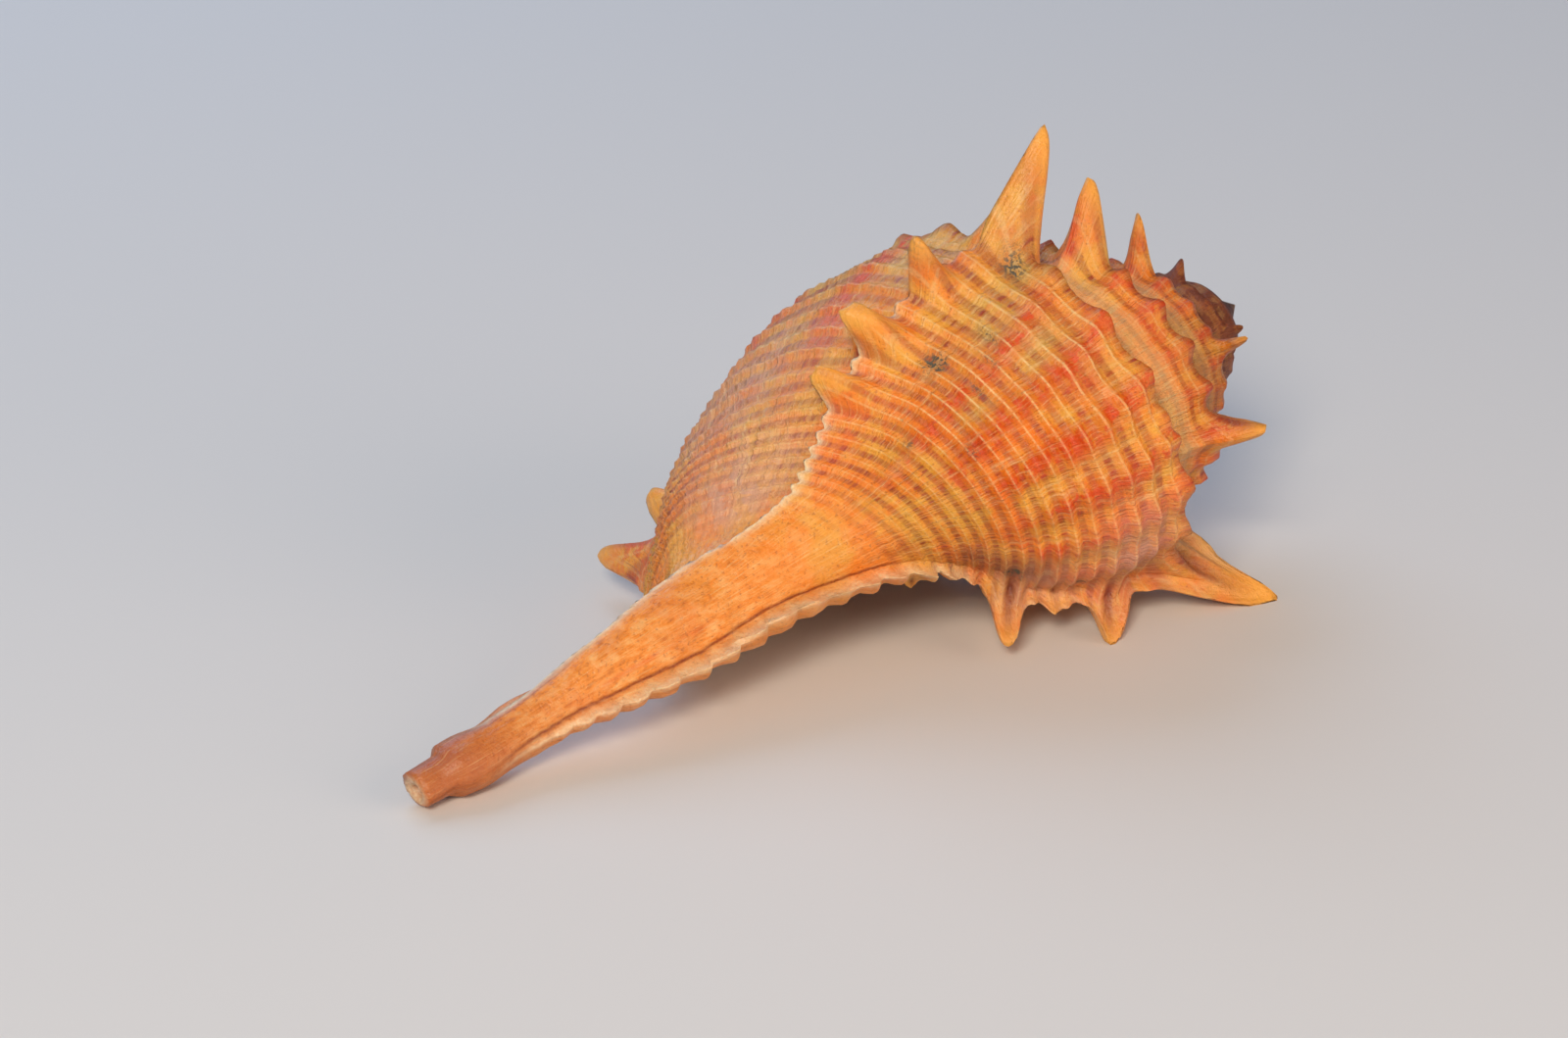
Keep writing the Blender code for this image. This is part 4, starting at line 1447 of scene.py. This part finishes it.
    def lay_hollow(self, parts: MeshParts, block: Array, rows: Array, seam: int, closed: int) -> None:
        """Lead the surface from the lip into the hollow and close it at its inner end.

        Args:
            parts: Where the points and faces go.
            block: Point numbers of the last whorl.
            rows: Its rows.
            seam: Place of the seam's row.
            closed: Place of the row where the canal is closed.
        """
        outer_side, inner_side = block[-1, : closed + 1], block[0, seam : closed + 1]
        outer_rows = np.interp(rows[: closed + 1], *zip(*self.outer_lead))
        inner_rows = np.interp(rows[seam : closed + 1], *zip(*self.inner_lead))
        for growth in self.hollow_growths:
            sides = []
            walls = self.hollow_walls(growth, outer_rows, inner_rows)
            for line, side_rows in zip(walls, (outer_rows, inner_rows)):
                count = len(line)
                angle = np.full(count, self.surface.lip_angle - growth)
                points = self.surface.place(line[:, 0], line[:, 1], angle)
                marks = {name: np.zeros(count) for name in SURFACE_MARKS}
                marks["inside"] += min(1.0, -growth / 45.0)
                carried = self.colouring.marks(np.full(count, growth), side_rows, marks)
                sides.append(parts.add(points, carried))
            sides[1][0], sides[1][-1] = sides[0][0], sides[0][-1]
            parts.strip(sides[0], outer_side, inner=True)
            parts.strip(inner_side, sides[1], inner=True)
            outer_side, inner_side = sides
        parts.zip_up(outer_side, inner_side, inner=True)

    def build(self) -> bpy.types.Object:
        """Build the mesh, dress it and put it in the place of its solid.

        Returns:
            The finished piece.
        """
        parts = MeshParts()
        self.lay_hollow(parts, *self.lay_outside(parts))
        piece = self.dress(parts)
        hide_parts(SHELL_NODE)
        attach(piece, self.body)
        return piece

    def dress(self, parts: MeshParts) -> bpy.types.Object:
        """Make the piece from its parts, with its marks and its two finishes.

        Args:
            parts: The points, marks and faces.

        Returns:
            The piece.
        """
        faces = parts.faces + parts.inner_faces
        used = np.unique(np.concatenate([np.array(face) for face in faces]))
        renumbered = np.full(parts.count, -1)
        renumbered[used] = np.arange(len(used))
        points = np.concatenate(parts.points)[used] * MM
        marks = np.concatenate(parts.marks)[used].astype(np.float32)
        mesh = bpy.data.meshes.new(self.name)
        mesh.from_pydata(points.tolist(), [], [[int(renumbered[n]) for n in face] for face in faces])
        mesh.materials.append(self.outside.material())
        mesh.materials.append(self.inside.material())
        finish = np.zeros(len(faces), np.int32)
        finish[len(parts.faces) :] = 1
        mesh.polygons.foreach_set("material_index", finish)
        mesh.polygons.foreach_set("use_smooth", np.ones(len(faces), bool))
        grid = mesh.attributes.new("shell_grid", "FLOAT_VECTOR", "POINT")
        grid.data.foreach_set("vector", marks[:, : len(GRID_NAMES)].ravel())
        for name, values in zip(MARK_NAMES, marks[:, len(GRID_NAMES) :].T):
            layer = mesh.attributes.new("shell_" + name, "FLOAT", "POINT")
            layer.data.foreach_set("value", np.ascontiguousarray(values))
        mesh.update()
        return place_object(self.name, mesh)


@dataclass(frozen=True)
class StudioPaper:
    """Plain matt studio paper: pale, a little warm, with no gloss to speak of."""

    name: str = "studio_paper"
    colour: str = "#DDDBD8"
    roughness: float = 0.75

    def material(self) -> bpy.types.Material:
        """Build the material."""
        return start_material(self.name, {"Base Color": linear(self.colour), "Roughness": self.roughness})[0]


@dataclass(frozen=True)
class SoftLight:
    """A square soft light: where it hangs and its side in mm, its power in watts and its colour."""

    name: str
    place: tuple[float, float, float]
    size: float
    watts: float
    colour: str

    def hang(self, aim: tuple[float, float, float]) -> None:
        """Hang the light so that it looks at a point.

        Args:
            aim: The point, in mm.
        """
        data = bpy.data.lights.new(self.name, "AREA")
        data.size = self.size * MM
        data.energy = self.watts
        data.color = linear(self.colour)[:3]
        lamp = place_object(self.name, data)
        lamp.location = Vector(self.place) * MM
        lamp.rotation_euler = (Vector(aim) * MM - lamp.location).to_track_quat("-Z", "Y").to_euler()


@dataclass
class Studio:
    """Floor, soft lights, and the camera where the photograph was taken from."""

    paper: StudioPaper
    floor_mm: float = 3000.0
    floor_gap: float = 0.02
    azimuth: float = -40.0
    elevation: float = 24.0
    lens: float = 92.25
    sensor: float = 36.0
    image_size: tuple[int, int] = (1600, 1059)
    tip_pixel: tuple[float, float] = (425.0, 808.0)
    tip_depth: float = 274.9
    aim: tuple[float, float, float] = (5.0, -2.0, 14.0)
    air: str = "#C6D8F2"
    air_strength: float = 0.25
    lights: tuple[SoftLight, ...] = (
        SoftLight("key_light", (-420.0, -330.0, 400.0), 200.0, 3.2, "#FFF1DC"),
        SoftLight("top_light", (60.0, 420.0, 420.0), 420.0, 1.5, "#C4DCFF"),
        SoftLight("fill_light", (240.0, -560.0, 220.0), 420.0, 1.5, "#FFDCBC"),
    )

    def floor(self) -> None:
        """Lay the plain floor just under the shell."""
        half, level = self.floor_mm * MM / 2, -self.floor_gap * MM
        mesh = bpy.data.meshes.new("studio_floor")
        corners = [(x, y, level) for x, y in ((-half, -half), (half, -half), (half, half), (-half, half))]
        mesh.from_pydata(corners, [], [(0, 1, 2, 3)])
        mesh.materials.append(self.paper.material())
        place_object("studio_floor", mesh)

    def axes(self) -> tuple[Vector, Vector, Vector]:
        """Work out which way the camera looks.

        Returns:
            Its right, up and forward directions.
        """
        turn, lift = math.radians(self.azimuth), math.radians(self.elevation)
        level = math.cos(lift)
        forward = Vector((-math.sin(turn) * level, math.cos(turn) * level, -math.sin(lift)))
        right = Vector((math.cos(turn), math.sin(turn), 0.0))
        return right, right.cross(forward), forward

    def camera(self, tip_at: tuple[float, float, float]) -> None:
        """Put the camera where the canal tip falls on its place in the picture.

        Args:
            tip_at: The canal tip, in mm.
        """
        right, up, forward = self.axes()
        focal = self.lens / self.sensor * self.image_size[0]
        across = (self.tip_pixel[0] - self.image_size[0] / 2) / focal
        down = (self.tip_pixel[1] - self.image_size[1] / 2) / focal
        place = Vector(tip_at) - self.tip_depth * (forward + across * right - down * up)
        data = bpy.data.cameras.new("photo_camera")
        data.lens, data.sensor_width = self.lens, self.sensor
        data.sensor_fit = "HORIZONTAL"
        data.clip_start, data.clip_end = 0.01, 20.0
        camera = place_object("photo_camera", data)
        turned = Matrix((right, up, -forward)).transposed().to_4x4()
        camera.matrix_world = Matrix.Translation(place * MM) @ turned
        bpy.context.scene.camera = camera

    def build(self, tip_at: tuple[float, float, float]) -> None:
        """Build the floor, the camera, the lights and the air.

        Args:
            tip_at: The canal tip, in mm.
        """
        self.floor()
        self.camera(tip_at)
        for light in self.lights:
            light.hang(self.aim)
        world = bpy.data.worlds.new("studio_air")
        world.use_nodes = True
        back = world.node_tree.nodes["Background"]
        back.inputs["Color"].default_value = linear(self.air)
        back.inputs["Strength"].default_value = self.air_strength
        bpy.context.scene.world = world
        bpy.context.scene.view_settings.view_transform = "Standard"


def report(piece: bpy.types.Object) -> None:
    """Log a piece's name and how many triangles it has."""
    piece.data.calc_loop_triangles()
    log.info("%s: %d triangles", piece.name, len(piece.data.loop_triangles))


def main() -> None:
    """Build the shell and the studio."""
    logging.basicConfig(level=logging.INFO, format="%(name)s: %(message)s")
    profile = WhorlProfile()
    relief = ShellRelief(profile)
    surface = ShellSurface(profile, relief, CanalEnd())
    shell = MurexShell(surface, Colouring(relief), WeatheredCalcite(), ApertureEnamel())
    report(shell.build())
    Studio(StudioPaper()).build(surface.tip_at)
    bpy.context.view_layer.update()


if __name__ == "__main__":
    main()
